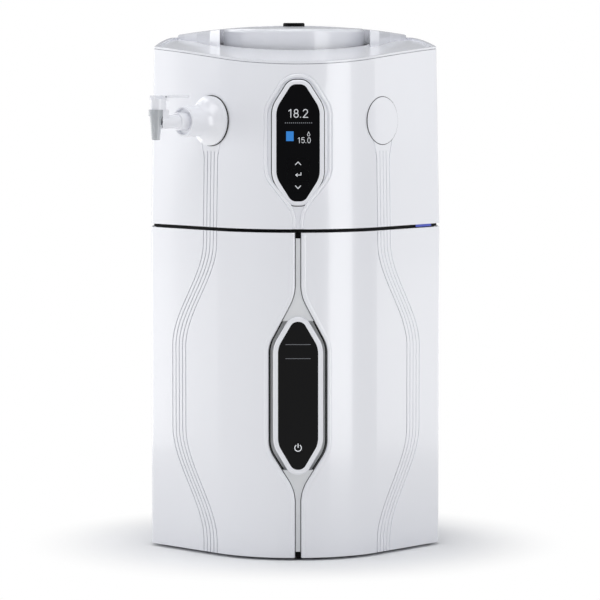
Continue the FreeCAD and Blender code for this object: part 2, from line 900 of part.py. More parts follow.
def upper_housing():
    cover_bottom = cover_drop + cover_thickness
    body = upper_solid(0).common(under_top(cover_edge + cover_seam))
    body = soften_basin(body.cut(basin_cut()))
    inside = upper_solid(flange_width, deck_top - wall)
    flange = box(-outside, outside, -wall, case_depth + wall, deck_top - wall, deck_top + wall).cut(inside)
    ledge = under_top(cover_bottom).cut([under_top(cover_bottom + wall), inside])
    backing = front_prism(basin_corners(wall), 0, corner_y).common(under_top(cover_bottom))
    backing = backing.cut(upper_solid(wall + basin_backing, deck_top - wall))
    shell = body.cut(upper_solid(wall, deck_top - wall).cut([flange, ledge, backing]))
    cuts = [front_prism(display_outline(display_bezel_rim + window_gap), -wall, corner_y)]
    skin = upper_solid(-wall).cut(upper_solid(groove_depth, deck_top - wall))
    for side in (-1, 1):
        cuts.append(facet_rod(side, shank_radius + shank_gap, 3 * wall, -6 * wall))
        cuts += [housing_ribbon(side, i).common(skin) for i in range(groove_count)]
    trench = upper_solid(-wall).cut(upper_solid(basin_depth + display_trench, deck_top - wall))
    trench_outline = display_outline(display_bezel_rim + display_trench)
    cuts.append(trench.common(front_prism(trench_outline, -wall, corner_y)))
    recess = upper_solid(-wall).cut(upper_solid(blank_recess, deck_top - wall))
    cuts.append(recess.common(facet_rod(1, blank_radius + blank_gap, 3 * wall, -6 * wall)))
    return shell.cut(cuts)


def basin_cut():
    skin = upper_solid(-wall, deck_top - wall).cut(upper_solid(basin_depth, deck_top - 2 * wall))
    return front_prism(basin_corners(), -wall, corner_y).common(skin)


def soften_basin(body):
    # Rounds the basin's outer edge where it meets the housing's surface
    solid = body.Solids[0]
    rounded = []
    for edge in solid.Edges:
        middle = edge.valueAt((edge.FirstParameter + edge.LastParameter) / 2)
        inset = (middle.z - deck_top) * math.tan(draft_angle)
        radius = math.hypot(middle.x, middle.y - front_radius)
        on_front = abs(radius - (front_radius - inset)) < surface_tolerance and middle.y < corner_y / 2
        if on_front and abs(middle.x) < basin_width and deck_top + wall / 3 < middle.z < basin_top + wall:
            rounded.append(edge)
    return solid.makeFillet(basin_edge_radius, rounded)


def facet_rod(side, radius, out0, out1):
    start = facet_point(side, tap_along_facet, tap_height, out0)
    return rod(radius, start, facet_normal(side) * (out1 - out0), abs(out1 - out0))


def housing_ribbon(side, index):
    # Straight grooves below the tap or blanking disc; the outer two splay out towards its rim
    last = groove_count - 1
    spread = {0: -splay_width, last: splay_width}.get(index, 0.0)
    top = tap_height - collar_radius + (splay_length / 3 if spread else -splay_length / 4)
    low = deck_top - wall
    levels = [low + (top - low) * i / splay_steps for i in range(splay_steps + 1)]
    places = [(groove_start(index) + spread * smooth_step((z - top + splay_length) / splay_length), z)
              for z in levels]
    return ribbon(side, places, groove_width)


def top_cover():
    cover_bottom = cover_drop + cover_thickness
    rim = upper_solid(0).common(under_top(0)).cut([under_top(cover_edge), upper_solid(cover_rim)])
    deck = upper_solid(wall + cover_fit).common(under_top(cover_drop)).cut(under_top(cover_bottom))
    link = upper_solid(wall + cover_fit).common(under_top(0))
    link = link.cut([under_top(cover_bottom), upper_solid(cover_rim)])
    cover = rim.fuse([deck, link, island()])
    hole = upright(lid_radius + lid_groove, 0, lid_centre, 0, far_above)
    return cover.cut(hole).removeSplitter()


def island():
    # The raised shoulders behind the lid, hollow underneath
    right = [(x, y, island_bend) for x, y in island_outline]
    outline = right + [(-x, y, r) for x, y, r in reversed(right)]
    crown = Vector(0, case_depth, island_crown - island_radius)

    def under_crown(drop):
        return rod(island_radius - drop, crown, Vector(0, -1, 0), case_depth)

    block = plan_prism(outline, island_floor, far_above).common(under_crown(0))
    upper = [e for e in block.Edges if e.BoundBox.ZMin > island_floor + wall and e.Length > island_bend]
    hollow = plan_prism(inset_corners(outline, wall), island_floor - wall, far_above)
    hollow = hollow.common(under_crown(wall))
    block = block.makeFillet(island_edge_radius, upper).cut(lid_space(0))
    return block.cut([hollow.cut(lid_space(2 * wall)), under_top(cover_drop + cover_thickness)])


def lid_space(grow):
    # The room that the island leaves round the lid, open towards the front
    reach = lid_radius + island_gap + grow
    front = box(-reach, reach, 0, lid_centre, 0, far_above)
    return upright(lid_radius + lid_groove + grow, 0, lid_centre, 0, far_above).fuse(front)


# Reservoir


def reservoir_tank():
    # A tub with a welded top that carries the neck
    w = tank_width / 2
    back = tank_front + tank_depth
    places = ((w, tank_front), (w, back), (-w, back), (-w, tank_front))
    corners = [(x, y, tank_bend) for x, y in places]
    top = deck_top + tank_height
    tub = plan_prism(corners, deck_top, top - tank_wall)
    tub = tub.cut(plan_prism(inset_corners(corners, tank_wall), deck_top + tank_wall, top))
    port = upright(tank_port_radius, pump_x, pump_y, deck_bottom - tank_port_drop, deck_top + tank_wall)
    tub = tub.fuse(port).cut(upright(tube_radius, pump_x, pump_y, 0, top)).removeSplitter()
    cover = plan_prism(corners, top - tank_wall, top)
    neck = upright(neck_radius, 0, lid_centre, top - tank_wall, neck_top)
    mouth = upright(neck_radius - neck_wall, 0, lid_centre, 0, neck_top + tank_wall)
    return Part.Compound([tub, cover.fuse(neck).cut(mouth).removeSplitter()])


def lid_seal():
    ring = upright(neck_radius, 0, lid_centre, neck_top, neck_top + seal_thickness)
    return ring.cut(upright(neck_radius - neck_wall, 0, lid_centre, 0, far_above))


def reservoir_lid():
    edge_z = lid_top - lid_dome
    dome_radius = (lid_radius ** 2 + lid_dome ** 2) / (2 * lid_dome)
    centre = Vector(0, lid_centre, lid_top - dome_radius)
    drum = upright(lid_radius, 0, lid_centre, edge_z - lid_skirt, lid_top)
    drum = drum.common(Part.makeSphere(dome_radius, centre))
    level = [e for e in drum.Edges if e.BoundBox.ZLength < tolerance]
    rim = [e for e in level if abs(e.BoundBox.ZMax - edge_z) < tolerance]
    drum = drum.makeFillet(lid_edge_radius, rim)
    hollow = upright(lid_radius - lid_wall, 0, lid_centre, 0, lid_top - lid_dome - lid_wall)
    seat = neck_top + seal_thickness
    ring = upright(neck_radius, 0, lid_centre, seat, lid_top - lid_dome)
    ring = ring.cut(upright(neck_radius - neck_wall, 0, lid_centre, 0, far_above))
    lid = drum.cut(hollow).fuse(ring)
    return lid.cut(upright(vent_body_radius, 0, lid_centre, 0, far_above)).removeSplitter()


def vent_filter_body():
    return upright(vent_body_radius, 0, lid_centre, lid_top - vent_body_height, lid_top)


def vent_filter_cap():
    cap = upright(vent_cap_radius, 0, lid_centre, lid_top, lid_top + vent_cap_height)
    rim = [e for e in cap.Edges if e.BoundBox.ZMin > lid_top + vent_cap_height - tolerance]
    return cap.makeChamfer(vent_cap_height / 4, rim)


def level_stem():
    floor = deck_top + tank_wall
    foot = upright(stem_foot_radius, stem_x, stem_y, floor, floor + stem_foot_height)
    stem = upright(stem_radius, stem_x, stem_y, floor, floor + stem_height)
    stop_z = floor + stem_height
    stop = upright(2 * stem_radius, stem_x, stem_y, stop_z - 2 * stem_radius, stop_z)
    return foot.fuse([stem, stop]).removeSplitter()


def level_float():
    bottom = deck_top + tank_wall + stem_foot_height + lever_side_gap
    ring = upright(float_radius, stem_x, stem_y, bottom, bottom + float_height)
    ring = ring.makeFillet(float_edge_radius, [e for e in ring.Edges if e.BoundBox.ZLength < shortest_edge])
    return ring.cut(upright(stem_radius + float_gap, stem_x, stem_y, 0, far_above))


# Tap, seen along its own axis: out is the distance from the facet


def tap_point(out, z=tap_height, across=0.0):
    point = facet_point(-1, tap_along_facet, z, out)
    return point + tap_across() * across


def tap_out():
    return facet_normal(-1)


def tap_across():
    return Vector(0, 0, 1).cross(tap_out())


def tap_rod(radius, out0, out1, z=tap_height):
    return rod(radius, tap_point(out0, z), tap_out(), out1 - out0)


def tap_block(out0, out1, half, z0, z1):
    corners = [tap_point(out0, z0, -half), tap_point(out1, z0, -half), tap_point(out1, z0, half),
               tap_point(out0, z0, half)]
    face = Part.Face(Part.makePolygon(corners + corners[:1]))
    return face.extrude(Vector(0, 0, z1 - z0))


def tap_revolve(profile):
    # Turns (out, radius) edges about the tap's axis
    return profile.revolve(tap_point(0), tap_out(), 360)


def tap_collar():
    def spot(out, radius):
        return tap_point(out, tap_height + radius)

    neck_start = collar_base + collar_flare
    flare_middle = spot(collar_base + collar_bell_out, collar_neck_radius + collar_bell_radius)
    rim_edge, neck_edge = spot(collar_base, collar_radius), spot(neck_start, collar_neck_radius)
    edges = [
        Part.makeLine(spot(-2 * wall, 0), spot(-2 * wall, collar_radius)),
        Part.makeLine(spot(-2 * wall, collar_radius), rim_edge),
        Part.Arc(rim_edge, flare_middle, neck_edge).toShape(),
        Part.makeLine(neck_edge, spot(collar_length, collar_neck_radius)),
        Part.makeLine(spot(collar_length, collar_neck_radius), spot(collar_length, 0)),
        Part.makeLine(spot(collar_length, 0), spot(-2 * wall, 0)),
    ]
    collar = tap_revolve(Part.Face(Part.Wire(edges)))
    collar = Part.Solid(collar.Shells[0]) if collar.ShapeType != "Solid" else collar
    collar = collar.cut([
        upper_solid(0),
        tap_rod(collar_recess_radius, collar_length - collar_recess_depth, collar_length + wall),
        tap_rod(shank_radius + shank_gap, -2 * wall, collar_length + wall),
    ])
    rims = [e for e in collar.Edges if abs(out_from_facet(e) - collar_length) < tolerance]
    return collar.makeFillet(collar_end_radius, rims)


def out_from_facet(edge):
    return (edge.CenterOfMass - tap_point(0)).dot(tap_out())


def spout_envelope(gap):
    return upright(spout_flange_radius + gap, tap_point(spout_out).x, tap_point(spout_out).y,
                   spout_top - spout_length, spout_top)


def tap_barrel():
    shank = tap_rod(shank_radius, -shank_inner_end, collar_length)
    stub = tap_rod(tap_stub_radius, collar_length - collar_recess_depth, tap_stub_end)
    outer = [e for e in stub.Edges if out_from_facet(e) > tap_stub_end - tap_stub_edge_radius]
    stub = stub.makeFillet(tap_stub_edge_radius, outer)
    arm = tap_rod(tap_arm_radius, tap_stub_end - wall, tap_arm_end)
    riser_start = lever_pivot_out - tap_arm_radius / 2
    riser = tap_block(riser_start, tap_arm_end, tap_riser_half_width, tap_height, spout_top)
    barrel = shank.fuse([stub, arm, riser]).cut(spout_envelope(spout_gap))
    bore = tap_rod(tap_bore_radius, -shank_inner_end - wall, spout_out)
    return barrel.cut(bore).removeSplitter()


def tap_spout():
    # A tapered nozzle with a thin band near its top
    bottom = spout_top - spout_length
    centre = tap_point(spout_out, bottom)
    cone = Part.makeCone(spout_tip_radius, spout_top_radius, spout_length, centre, Vector(0, 0, 1))
    band_z = spout_top - spout_flange_top
    top_z = band_z + spout_flange_height
    top = upright(spout_flange_radius, centre.x, centre.y, top_z, spout_top)
    band = upright(spout_flange_radius, centre.x, centre.y, band_z, top_z)
    bore = upright(spout_bore_radius, centre.x, centre.y, bottom - wall, spout_top - wall)
    return cone.fuse([top, band]).cut(bore).removeSplitter()


def tap_bonnet():
    # The head over nozzle and arm, with the fixed half of the top plate and two ears for the lever
    across = tap_across()
    z0, z1 = spout_top, spout_top + bonnet_height
    ends = [tap_point(bonnet_out + d, z0) for d in (-bonnet_half_straight, bonnet_half_straight)]
    head = [upright(bonnet_radius, p.x, p.y, z0, z1) for p in ends]
    straight = (bonnet_out - bonnet_half_straight, bonnet_out + bonnet_half_straight)
    head.append(tap_block(*straight, bonnet_radius, z0, z1))
    plate_z = z1 + lever_slot
    plate = tap_block(lever_pivot_out + lever_thickness, lever_tip_out, lever_width / 2, z1 - wall,
                      plate_z + lever_thickness)
    ears = []
    for side in (-1, 1):
        outer = side * (lever_width / 2 + lever_side_gap + lever_ear_width / 2)
        inner = side * (lever_width / 2 + lever_side_gap - lever_ear_width / 2)
        low, high = sorted((outer, inner))
        corners = [tap_point(lever_pivot_out + o, z1 - wall, a) for o, a in (
            (-lever_ear_width, low), (2 * lever_ear_width, low), (2 * lever_ear_width, high),
            (-lever_ear_width, high))]
        ear = Part.Face(Part.makePolygon(corners + corners[:1])).extrude(
            Vector(0, 0, wall + lever_slot + lever_thickness))
        ears.append(ear)
    slot = tap_block(lever_tail_out, lever_pivot_out + lever_thickness, lever_width / 2
                     + lever_side_gap - lever_ear_width / 2, z1, z1 + 2 * bonnet_height)
    pin_hole = rod(lever_pin_radius, tap_point(lever_pivot_out, lever_pin_z()) - across * lever_width,
                   across, 2 * lever_width)
    body = head[0].fuse(head[1:] + [plate] + ears).removeSplitter()
    return body.cut([slot, pin_hole])


def lever_pin_z():
    return spout_top + bonnet_height + lever_slot + lever_thickness / 2


def tap_lever():
    across = tap_across()
    z0 = spout_top + bonnet_height + lever_slot
    half = lever_width / 2 - lever_ear_width / 2
    blade = tap_block(lever_tail_out, lever_pivot_out - 2 * lever_ear_width, lever_width / 2, z0,
                      z0 + lever_thickness)
    tongue = tap_block(lever_tail_out + lever_width, lever_pivot_out, half, z0, z0 + lever_thickness)
    hub = rod(lever_thickness / 2, tap_point(lever_pivot_out, lever_pin_z(), -half), across, 2 * half)
    lever = blade.fuse([tongue, hub])
    hole_radius = lever_pin_radius - lever_thickness / 8
    hole = rod(hole_radius, tap_point(lever_pivot_out, lever_pin_z(), -lever_width), across, 2 * lever_width)
    return lever.cut(hole).removeSplitter()


def tap_lever_pin():
    radius = lever_pin_radius - lever_thickness / 8 - hinge_clearance
    half = lever_width / 2 + lever_side_gap + lever_ear_width / 2
    return rod(radius, tap_point(lever_pivot_out, lever_pin_z(), -half), tap_across(), 2 * half)


def tap_backnut():
    nut = tap_rod(backnut_radius, -wall - backnut_length, wall).common(upper_solid(wall))
    return nut.cut(tap_rod(shank_radius + shank_gap, -outside, outside))


def tap_riser():
    return tap_point(-shank_inner_end - tap_tube_run)


def tap_tube():
    corner = tap_riser()
    points = [tap_point(-shank_inner_end), corner, Vector(corner.x, corner.y, deck_top - deck_thickness)]
    return tube(points, tap_tube_radius, tap_tube_bend)


def blank_cap():
    disc = facet_rod(1, blank_radius, 3 * wall, -3 * wall)
    disc = disc.common(upper_solid(-blank_proud, deck_top - wall))
    disc = disc.cut(upper_solid(blank_recess, deck_top - wall))
    shank = facet_rod(1, shank_radius, 0, -blank_shank_length)
    shank = shank.common(upper_solid(0))
    return disc.fuse(shank).removeSplitter()


# Contents of the lower cabinet


def chassis_plate():
    plate = box(-chassis_half_width, chassis_half_width, chassis_y, chassis_back, pan_top, deck_bottom)
    return plate.cut(rod(tube_radius + tube_hole_gap, Vector(0, 0, tube_level), Vector(0, 1, 0), case_depth))


def pack_shelves():
    shelves = []
    z1 = pack_bottom
    z0 = z1 - shelf_thickness
    reach = pack_radius + shelf_margin
    plate = box(pack_x - reach, pack_x + reach, pack_y, chassis_y, z0, z1)
    disc = upright(reach, pack_x, pack_y, z0, z1)
    gussets = []
    for x in (pack_x - reach / 2, pack_x + reach / 2):
        points = [Vector(x, chassis_y, z0), Vector(x, chassis_y - shelf_gusset, z0),
                  Vector(x, chassis_y, z0 - shelf_gusset)]
        gusset = Part.Face(Part.makePolygon(points + points[:1]))
        gussets.append(gusset.extrude(Vector(shelf_thickness, 0, 0)))
    shelf = plate.fuse([disc] + gussets).removeSplitter()
    shelves.append(shelf)
    shelves.append(mirrored(shelf))
    return Part.Compound(shelves)


def pack(side):
    top = pack_bottom + pack_shoulder
    body = upright(pack_radius, pack_x, pack_y, pack_bottom, top)
    rims = [e for e in body.Edges if e.BoundBox.ZLength < shortest_edge]
    body = body.makeFillet(pack_edge_radius, rims)
    neck = upright(pack_neck_radius, pack_x, pack_y, top - wall, pack_bottom + pack_height)
    half = pack_grip_half_width
    grip = box(pack_x - half, pack_x + half, pack_y - 2 * wall, pack_y + 2 * wall, top - wall,
               pack_bottom + pack_height)
    ports = []
    z = pack_bottom + port_height
    face_y = chassis_y - manifold_thickness
    for x in (pack_x - port_x, pack_x + port_x):
        start = Vector(x, pack_y, z)
        ports.append(rod(port_radius, start, Vector(0, 1, 0), face_y + port_engagement - pack_y))
        ports.append(rod(port_collar_radius, start, Vector(0, 1, 0), face_y - pack_y))
    solid = body.fuse([neck, grip] + ports).removeSplitter()
    return solid if side > 0 else mirrored(solid)


def pack_manifolds():
    z = pack_bottom + port_height
    block = box(pack_x - manifold_half_width, pack_x + manifold_half_width, chassis_y - manifold_thickness,
                chassis_y, z - manifold_height / 2, z + manifold_height / 2)
    cuts = [upright(tube_radius, pack_x, chassis_y - manifold_thickness / 2, z, far_above)]
    for x in (pack_x - port_x, pack_x + port_x):
        cuts.append(rod(port_radius + port_gap, Vector(x, chassis_y - manifold_thickness - wall, z),
                        Vector(0, 1, 0), wall + port_engagement + port_spare))
    block = block.cut(cuts)
    return Part.Compound([block, mirrored(block)])


def vessel(x, y):
    return upright(vessel_radius, x, y, pan_top + vessel_cap_height / 2, vessel_top - vessel_cap_height / 2)


def uv_chamber():
    return vessel(-vessel_x, vessel_y)


def ultrafilter():
    return vessel(vessel_x, vessel_y)


def ro_vessel():
    return vessel(ro_x, ro_y)


def vessel_end_caps():
    caps = []
    for x, y in ((-vessel_x, vessel_y), (vessel_x, vessel_y), (ro_x, ro_y)):
        low = upright(vessel_cap_radius, x, y, pan_top, pan_top + vessel_cap_height)
        high = upright(vessel_cap_radius, x, y, vessel_top - vessel_cap_height, vessel_top)
        port = upright(cap_port_radius, x, y, vessel_top - wall, vessel_top + cap_port_height)
        body = vessel(x, y)
        caps.append(low.cut(body))
        caps.append(high.cut(body).fuse(port).removeSplitter())
    return Part.Compound(caps)


def vessel_clips():
    clips = []
    for x in (-vessel_x, vessel_x):
        for z in clip_levels:
            ring = upright(vessel_radius + clip_wall, x, vessel_y, z, z + clip_height)
            stem = box(x - vessel_radius / 2, x + vessel_radius / 2, vessel_y, chassis_y, z, z + clip_height)
            bore = upright(vessel_radius, x, vessel_y, 0, far_above)
            clips.append(ring.fuse(stem).cut(bore).removeSplitter())
    return Part.Compound(clips)


def conductivity_cell():
    port_top = vessel_top + cap_port_height
    z = port_top + cell_radius + wall
    reach = vessel_x + cell_overhang
    bar = rod(cell_radius, Vector(-reach, vessel_y, z), Vector(1, 0, 0), 2 * reach)
    legs = [upright(cap_port_radius, x, vessel_y, port_top, z) for x in (-vessel_x, vessel_x)]
    probe = rod(cap_port_radius, Vector(0, vessel_y, z), Vector(0, -1, 0), 3 * cell_radius)
    return bar.fuse(legs + [probe]).removeSplitter()


def pump_motor():
    motor = upright(pump_motor_radius, pump_x, pump_y, pan_top, pan_top + pump_motor_height)
    pitch = pump_motor_height / (motor_fin_count + 2)
    fins = []
    for i in range(motor_fin_count):
        z = pan_top + pitch * (i + 1.5)
        ring = upright(pump_motor_radius + wall, pump_x, pump_y, z, z + wall)
        fins.append(ring)
    return motor.fuse(fins).removeSplitter()


def pump_head():
    z0 = pan_top + pump_motor_height
    z1 = z0 + pump_head_height
    head = upright(pump_head_radius, pump_x, pump_y, z0, z1)
    inlet = upright(cap_port_radius, pump_x, pump_y, z1 - wall, z1 + pump_port_length)
    outlet = rod(cap_port_radius, Vector(pump_x, pump_y, pump_outlet_z()), Vector(1, 0, 0),
                 pump_head_radius + pump_port_length)
    return head.fuse([inlet, outlet]).removeSplitter()


def pump_outlet_z():
    return pan_top + pump_motor_height + pump_head_height / 2


def power_supply():
    width, depth, height = supply_size
    case = box(supply_x - width / 2, supply_x + width / 2, chassis_back, chassis_back + depth, supply_bottom,
               supply_bottom + height)
    slots = []
    for i in range(supply_slot_count):
        z = supply_bottom + height * (i + 2) / (supply_slot_count + 3)
        slots.append(box(supply_x - width / 3, supply_x + width / 3, chassis_back + depth - wall,
                         chassis_back + depth + wall, z, z + wall))
    return case.cut(slots)


def control_board():
    width, thickness, height = control_size
    x0, x1 = control_x - width / 2, control_x + width / 2
    z0, z1 = control_bottom, control_bottom + height
    y0 = chassis_back + standoff_length
    board = box(x0, x1, y0, y0 + thickness, z0, z1)
    inset = 2 * standoff_radius
    reach = standoff_length + thickness / 2
    posts = [rod(standoff_radius, Vector(x, chassis_back, z), Vector(0, 1, 0), reach)
             for x in (x0 + inset, x1 - inset) for z in (z0 + inset, z1 - inset)]
    chips = []
    for u, v, w, h, d in board_chips:
        cx, cz = x0 + u * width, z0 + v * height
        chips.append(box(cx, cx + w * width, y0 + thickness / 2, y0 + thickness + d, cz, cz + h * height))
    return board.fuse(posts + chips).removeSplitter()


def solenoid_valve():
    width, depth, height = valve_size
    y1 = bay_wall_y - fitting_shank_length
    body = box(feed_x - width / 2, feed_x + width / 2, y1 - depth, y1, fitting_height - height / 2,
               fitting_height + height / 2)
    coil = upright(valve_coil_radius, feed_x, y1 - depth / 2, fitting_height, fitting_height + height / 2
                   + valve_coil_height)
    return body.fuse(coil).removeSplitter()


def process_tubing():
    z_manifold = pack_bottom + port_height + manifold_height / 2
    y_manifold = chassis_y - manifold_thickness / 2
    cell_z = vessel_top + cap_port_height + cell_radius + wall
    reach = vessel_x + cell_overhang
    riser = tap_riser()
    pump_side = pump_x + pump_head_radius + pump_port_length
    suction = [Vector(pump_x, pump_y, deck_bottom - tank_port_drop),
               Vector(pump_x, pump_y, pan_top + pump_motor_height + pump_head_height + pump_port_length)]
    runs = [
        [Vector(pump_side, pump_y, pump_outlet_z()), Vector(0, pump_y, pump_outlet_z()),
         Vector(0, pump_y, tube_level), Vector(0, y_manifold, tube_level),
         Vector(-pack_x, y_manifold, tube_level), Vector(-pack_x, y_manifold, z_manifold)],
        [Vector(pack_x, y_manifold, z_manifold), Vector(pack_x, y_manifold, cell_z),
         Vector(reach + 2 * tube_bend, vessel_y, cell_z), Vector(reach, vessel_y, cell_z)],
        [Vector(-reach, vessel_y, cell_z), Vector(riser.x, vessel_y, cell_z),
         Vector(riser.x, riser.y, tube_level), Vector(riser.x, riser.y, deck_bottom)],
    ]
    solids = [rod(tube_radius, suction[1], Vector(0, 0, 1), suction[0].z - suction[1].z)]
    bends = (tube_bend, tube_bend / 2, tube_bend)
    solids += [tube(points, tube_radius, bend) for points, bend in zip(runs, bends)]
    return Part.Compound(solids)


# Rear connections


def mains_inlet():
    width, height, depth = inlet_size
    body = box(inlet_x - width / 2, inlet_x + width / 2, bay_wall_y - wall - depth, bay_wall_y,
               fitting_height - height / 2, fitting_height + height / 2)
    fw, fh, ft = inlet_flange
    flange = box(inlet_x - fw / 2, inlet_x + fw / 2, bay_wall_y, bay_wall_y + ft, fitting_height - fh / 2,
                 fitting_height + fh / 2)
    mw, mh, md = inlet_mouth
    face = bay_wall_y + ft
    mouth = box(inlet_x - mw / 2, inlet_x + mw / 2, face - md, face + wall, fitting_height - mh / 2,
                fitting_height + mh / 2)
    pw, ph, pl = inlet_pin
    pins = [box(inlet_x + dx - ph / 2, inlet_x + dx + ph / 2, face - md - wall, face - md + pl,
                fitting_height + dz - pw / 2, fitting_height + dz + pw / 2)
            for dx, dz in ((-inlet_pin_spread, -inlet_pin_rise), (0.0, inlet_pin_rise),
                           (inlet_pin_spread, -inlet_pin_rise))]
    return body.fuse(flange).cut(mouth).fuse(pins).removeSplitter()


def push_fitting(x):
    # A push-in tube fitting that is screwed through the bay wall
    y = bay_wall_y
    axis = Vector(0, 1, 0)
    body = rod(fitting_body_radius, Vector(x, y, fitting_height), axis, fitting_body_length)
    shank = rod(fitting_shank_radius, Vector(x, y - fitting_shank_length, fitting_height), axis,
                fitting_shank_length + wall)
    bore_start = Vector(x, y + fitting_body_length - fitting_bore_length, fitting_height)
    bore = rod(fitting_bore_radius, bore_start, axis, fitting_bore_length + wall)
    rim = [e for e in body.Edges if e.BoundBox.YMin > y + fitting_body_length - tolerance]
    return body.makeFillet(fitting_edge_radius, rim).fuse(shank).cut(bore).removeSplitter()


def wall_bracket():
    # A top-hat plate on the rear wall, with four screw holes
    w, h, t = bracket_width / 2, bracket_height / 2, bracket_thickness
    back = case_depth + bracket_stand_off
    plate = box(-w, w, back - t, back, bracket_centre - h, bracket_centre + h)
    feet_z = ((bracket_centre - h, bracket_centre - h + t), (bracket_centre + h - t, bracket_centre + h))
    webs = [box(-w, w, case_depth, back, z0, z1) for z0, z1 in feet_z]
    holes = []
    for side in (-1, 1):
        for level in (-1, 1):
            spot = Vector(side * bracket_hole_spacing_x / 2, case_depth,
                          bracket_centre + level * bracket_hole_spacing_z / 2)
            holes.append(rod(bracket_hole_radius, spot, Vector(0, 1, 0), 2 * bracket_stand_off))
    return plate.fuse(webs).cut(holes).removeSplitter()


def panel_screws():
    screws = []
    for side in (-1, 1):
        spot = Vector(side * screw_x, case_depth, bracket_centre)
        head = rod(screw_head_radius, spot, Vector(0, 1, 0), screw_head_height)
        start = spot - Vector(0, 2 * wall, 0)
        shank = rod(screw_shank_radius, start, Vector(0, 1, 0), 2 * wall + screw_head_height / 2)
        screws.append(head.fuse(shank).removeSplitter())
    return Part.Compound(screws)


os.makedirs("parts", exist_ok=True)
nodes = {
    "base_pan": base_pan,
    "feet": feet,
    "rear_casing": rear_casing,
    "mid_deck": mid_deck,
    "seam_light": seam_light,
    "left_door": lambda: door(-1),
    "right_door": lambda: door(1),
    "left_hinge_pins": lambda: hinge_pins(-1),
    "right_hinge_pins": lambda: hinge_pins(1),
    "front_spine": front_spine,
    "door_magnets": door_magnets,
    "pod_bezel": pod_bezel,
    "pod_window": pod_window,
    "power_button": power_button,
    "display_bezel": display_bezel,
    "display_window": display_window,
    "up_key": lambda: panel_key(0),
    "enter_key": lambda: panel_key(1),
    "down_key": lambda: panel_key(2),
    "panel_boards": panel_boards,
    "upper_housing": upper_housing,
    "top_cover": top_cover,
    "reservoir_tank": reservoir_tank,
    "lid_seal": lid_seal,
    "reservoir_lid": reservoir_lid,
    "vent_filter_body": vent_filter_body,
    "vent_filter_cap": vent_filter_cap,
    "level_stem": level_stem,
    "level_float": level_float,
    "tap_collar": tap_collar,
    "tap_barrel": tap_barrel,
    "tap_spout": tap_spout,
    "tap_bonnet": tap_bonnet,
    "tap_lever": tap_lever,
    "tap_lever_pin": tap_lever_pin,
    "tap_backnut": tap_backnut,
    "tap_tube": tap_tube,
    "blank_cap": blank_cap,
    "chassis_plate": chassis_plate,
    "pack_shelves": pack_shelves,
    "left_pack": lambda: pack(-1),
    "right_pack": lambda: pack(1),
    "pack_manifolds": pack_manifolds,
    "uv_chamber": uv_chamber,
    "ultrafilter": ultrafilter,
    "ro_vessel": ro_vessel,
    "vessel_end_caps": vessel_end_caps,
    "vessel_clips": vessel_clips,
    "conductivity_cell": conductivity_cell,
    "pump_motor": pump_motor,
    "pump_head": pump_head,
    "power_supply": power_supply,
    "control_board": control_board,
    "solenoid_valve": solenoid_valve,
    "process_tubing": process_tubing,
    "mains_inlet": mains_inlet,
    "feed_inlet": lambda: push_fitting(feed_x),
    "drain_outlet": lambda: push_fitting(drain_x),
    "wall_bracket": wall_bracket,
    "panel_screws": panel_screws,
}
for name, make in nodes.items():
    save(name, make())
print("front plane at y", round(front_place, 3))
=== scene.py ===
import json
import math
import bmesh
import bpy
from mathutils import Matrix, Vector


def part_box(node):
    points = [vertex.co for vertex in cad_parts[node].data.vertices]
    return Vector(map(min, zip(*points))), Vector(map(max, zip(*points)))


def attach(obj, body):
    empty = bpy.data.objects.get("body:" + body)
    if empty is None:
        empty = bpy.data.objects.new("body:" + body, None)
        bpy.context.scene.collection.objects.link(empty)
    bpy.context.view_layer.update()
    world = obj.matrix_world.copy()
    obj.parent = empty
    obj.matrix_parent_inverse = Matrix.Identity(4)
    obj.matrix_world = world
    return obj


# An ultrapure water system on a white sweep. Metres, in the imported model's frame.

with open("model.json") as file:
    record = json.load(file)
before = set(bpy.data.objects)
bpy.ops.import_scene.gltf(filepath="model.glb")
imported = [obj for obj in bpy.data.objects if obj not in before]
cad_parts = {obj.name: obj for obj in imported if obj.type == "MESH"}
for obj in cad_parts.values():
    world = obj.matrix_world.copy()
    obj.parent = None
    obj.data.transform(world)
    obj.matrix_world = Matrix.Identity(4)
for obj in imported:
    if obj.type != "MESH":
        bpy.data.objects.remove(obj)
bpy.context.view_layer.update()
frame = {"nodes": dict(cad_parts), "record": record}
nodes = frame["nodes"]
mm = 0.001

# The front as the solids have it, in millimetres: an arc in plan between two flat facets.
# Depths are measured back from the plane that touches the cabinet's front.
front = {
    "caseDepth": 375.0,
    "radius": 150.0,
    "seamTop": 461.0,  # the housing leans in above this level
    "draft": math.tan(math.radians(1.15)),
}
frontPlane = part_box("rear_casing")[1].y - front["caseDepth"] * mm


def spot(x, depth, z):
    return Vector((x * mm, frontPlane + depth * mm, z * mm))


def hexLinear(code):
    # An sRGB hex colour as linear values, by the standard's own curve
    parts = [int(code[i:i + 2], 16) / 255 for i in (1, 3, 5)]
    return [p / 12.92 if p <= 0.04045 else ((p + 0.055) / 1.055) ** 2.4 for p in parts] + [1.0]


def addNode(tree, kind, inputs=None, **settings):
    node = tree.nodes.new(kind)
    for key, value in settings.items():
        setattr(node, key, value)
    for key, value in (inputs or {}).items():
        if isinstance(value, bpy.types.NodeSocket):
            tree.links.new(value, node.inputs[key])
        else:
            node.inputs[key].default_value = value
    return node


def newMaterial(name):
    material = bpy.data.materials.new(name)
    material.use_nodes = True
    tree = material.node_tree
    coords = addNode(tree, "ShaderNodeTexCoord")
    return material, tree, tree.nodes["Principled BSDF"], coords.outputs["Object"]


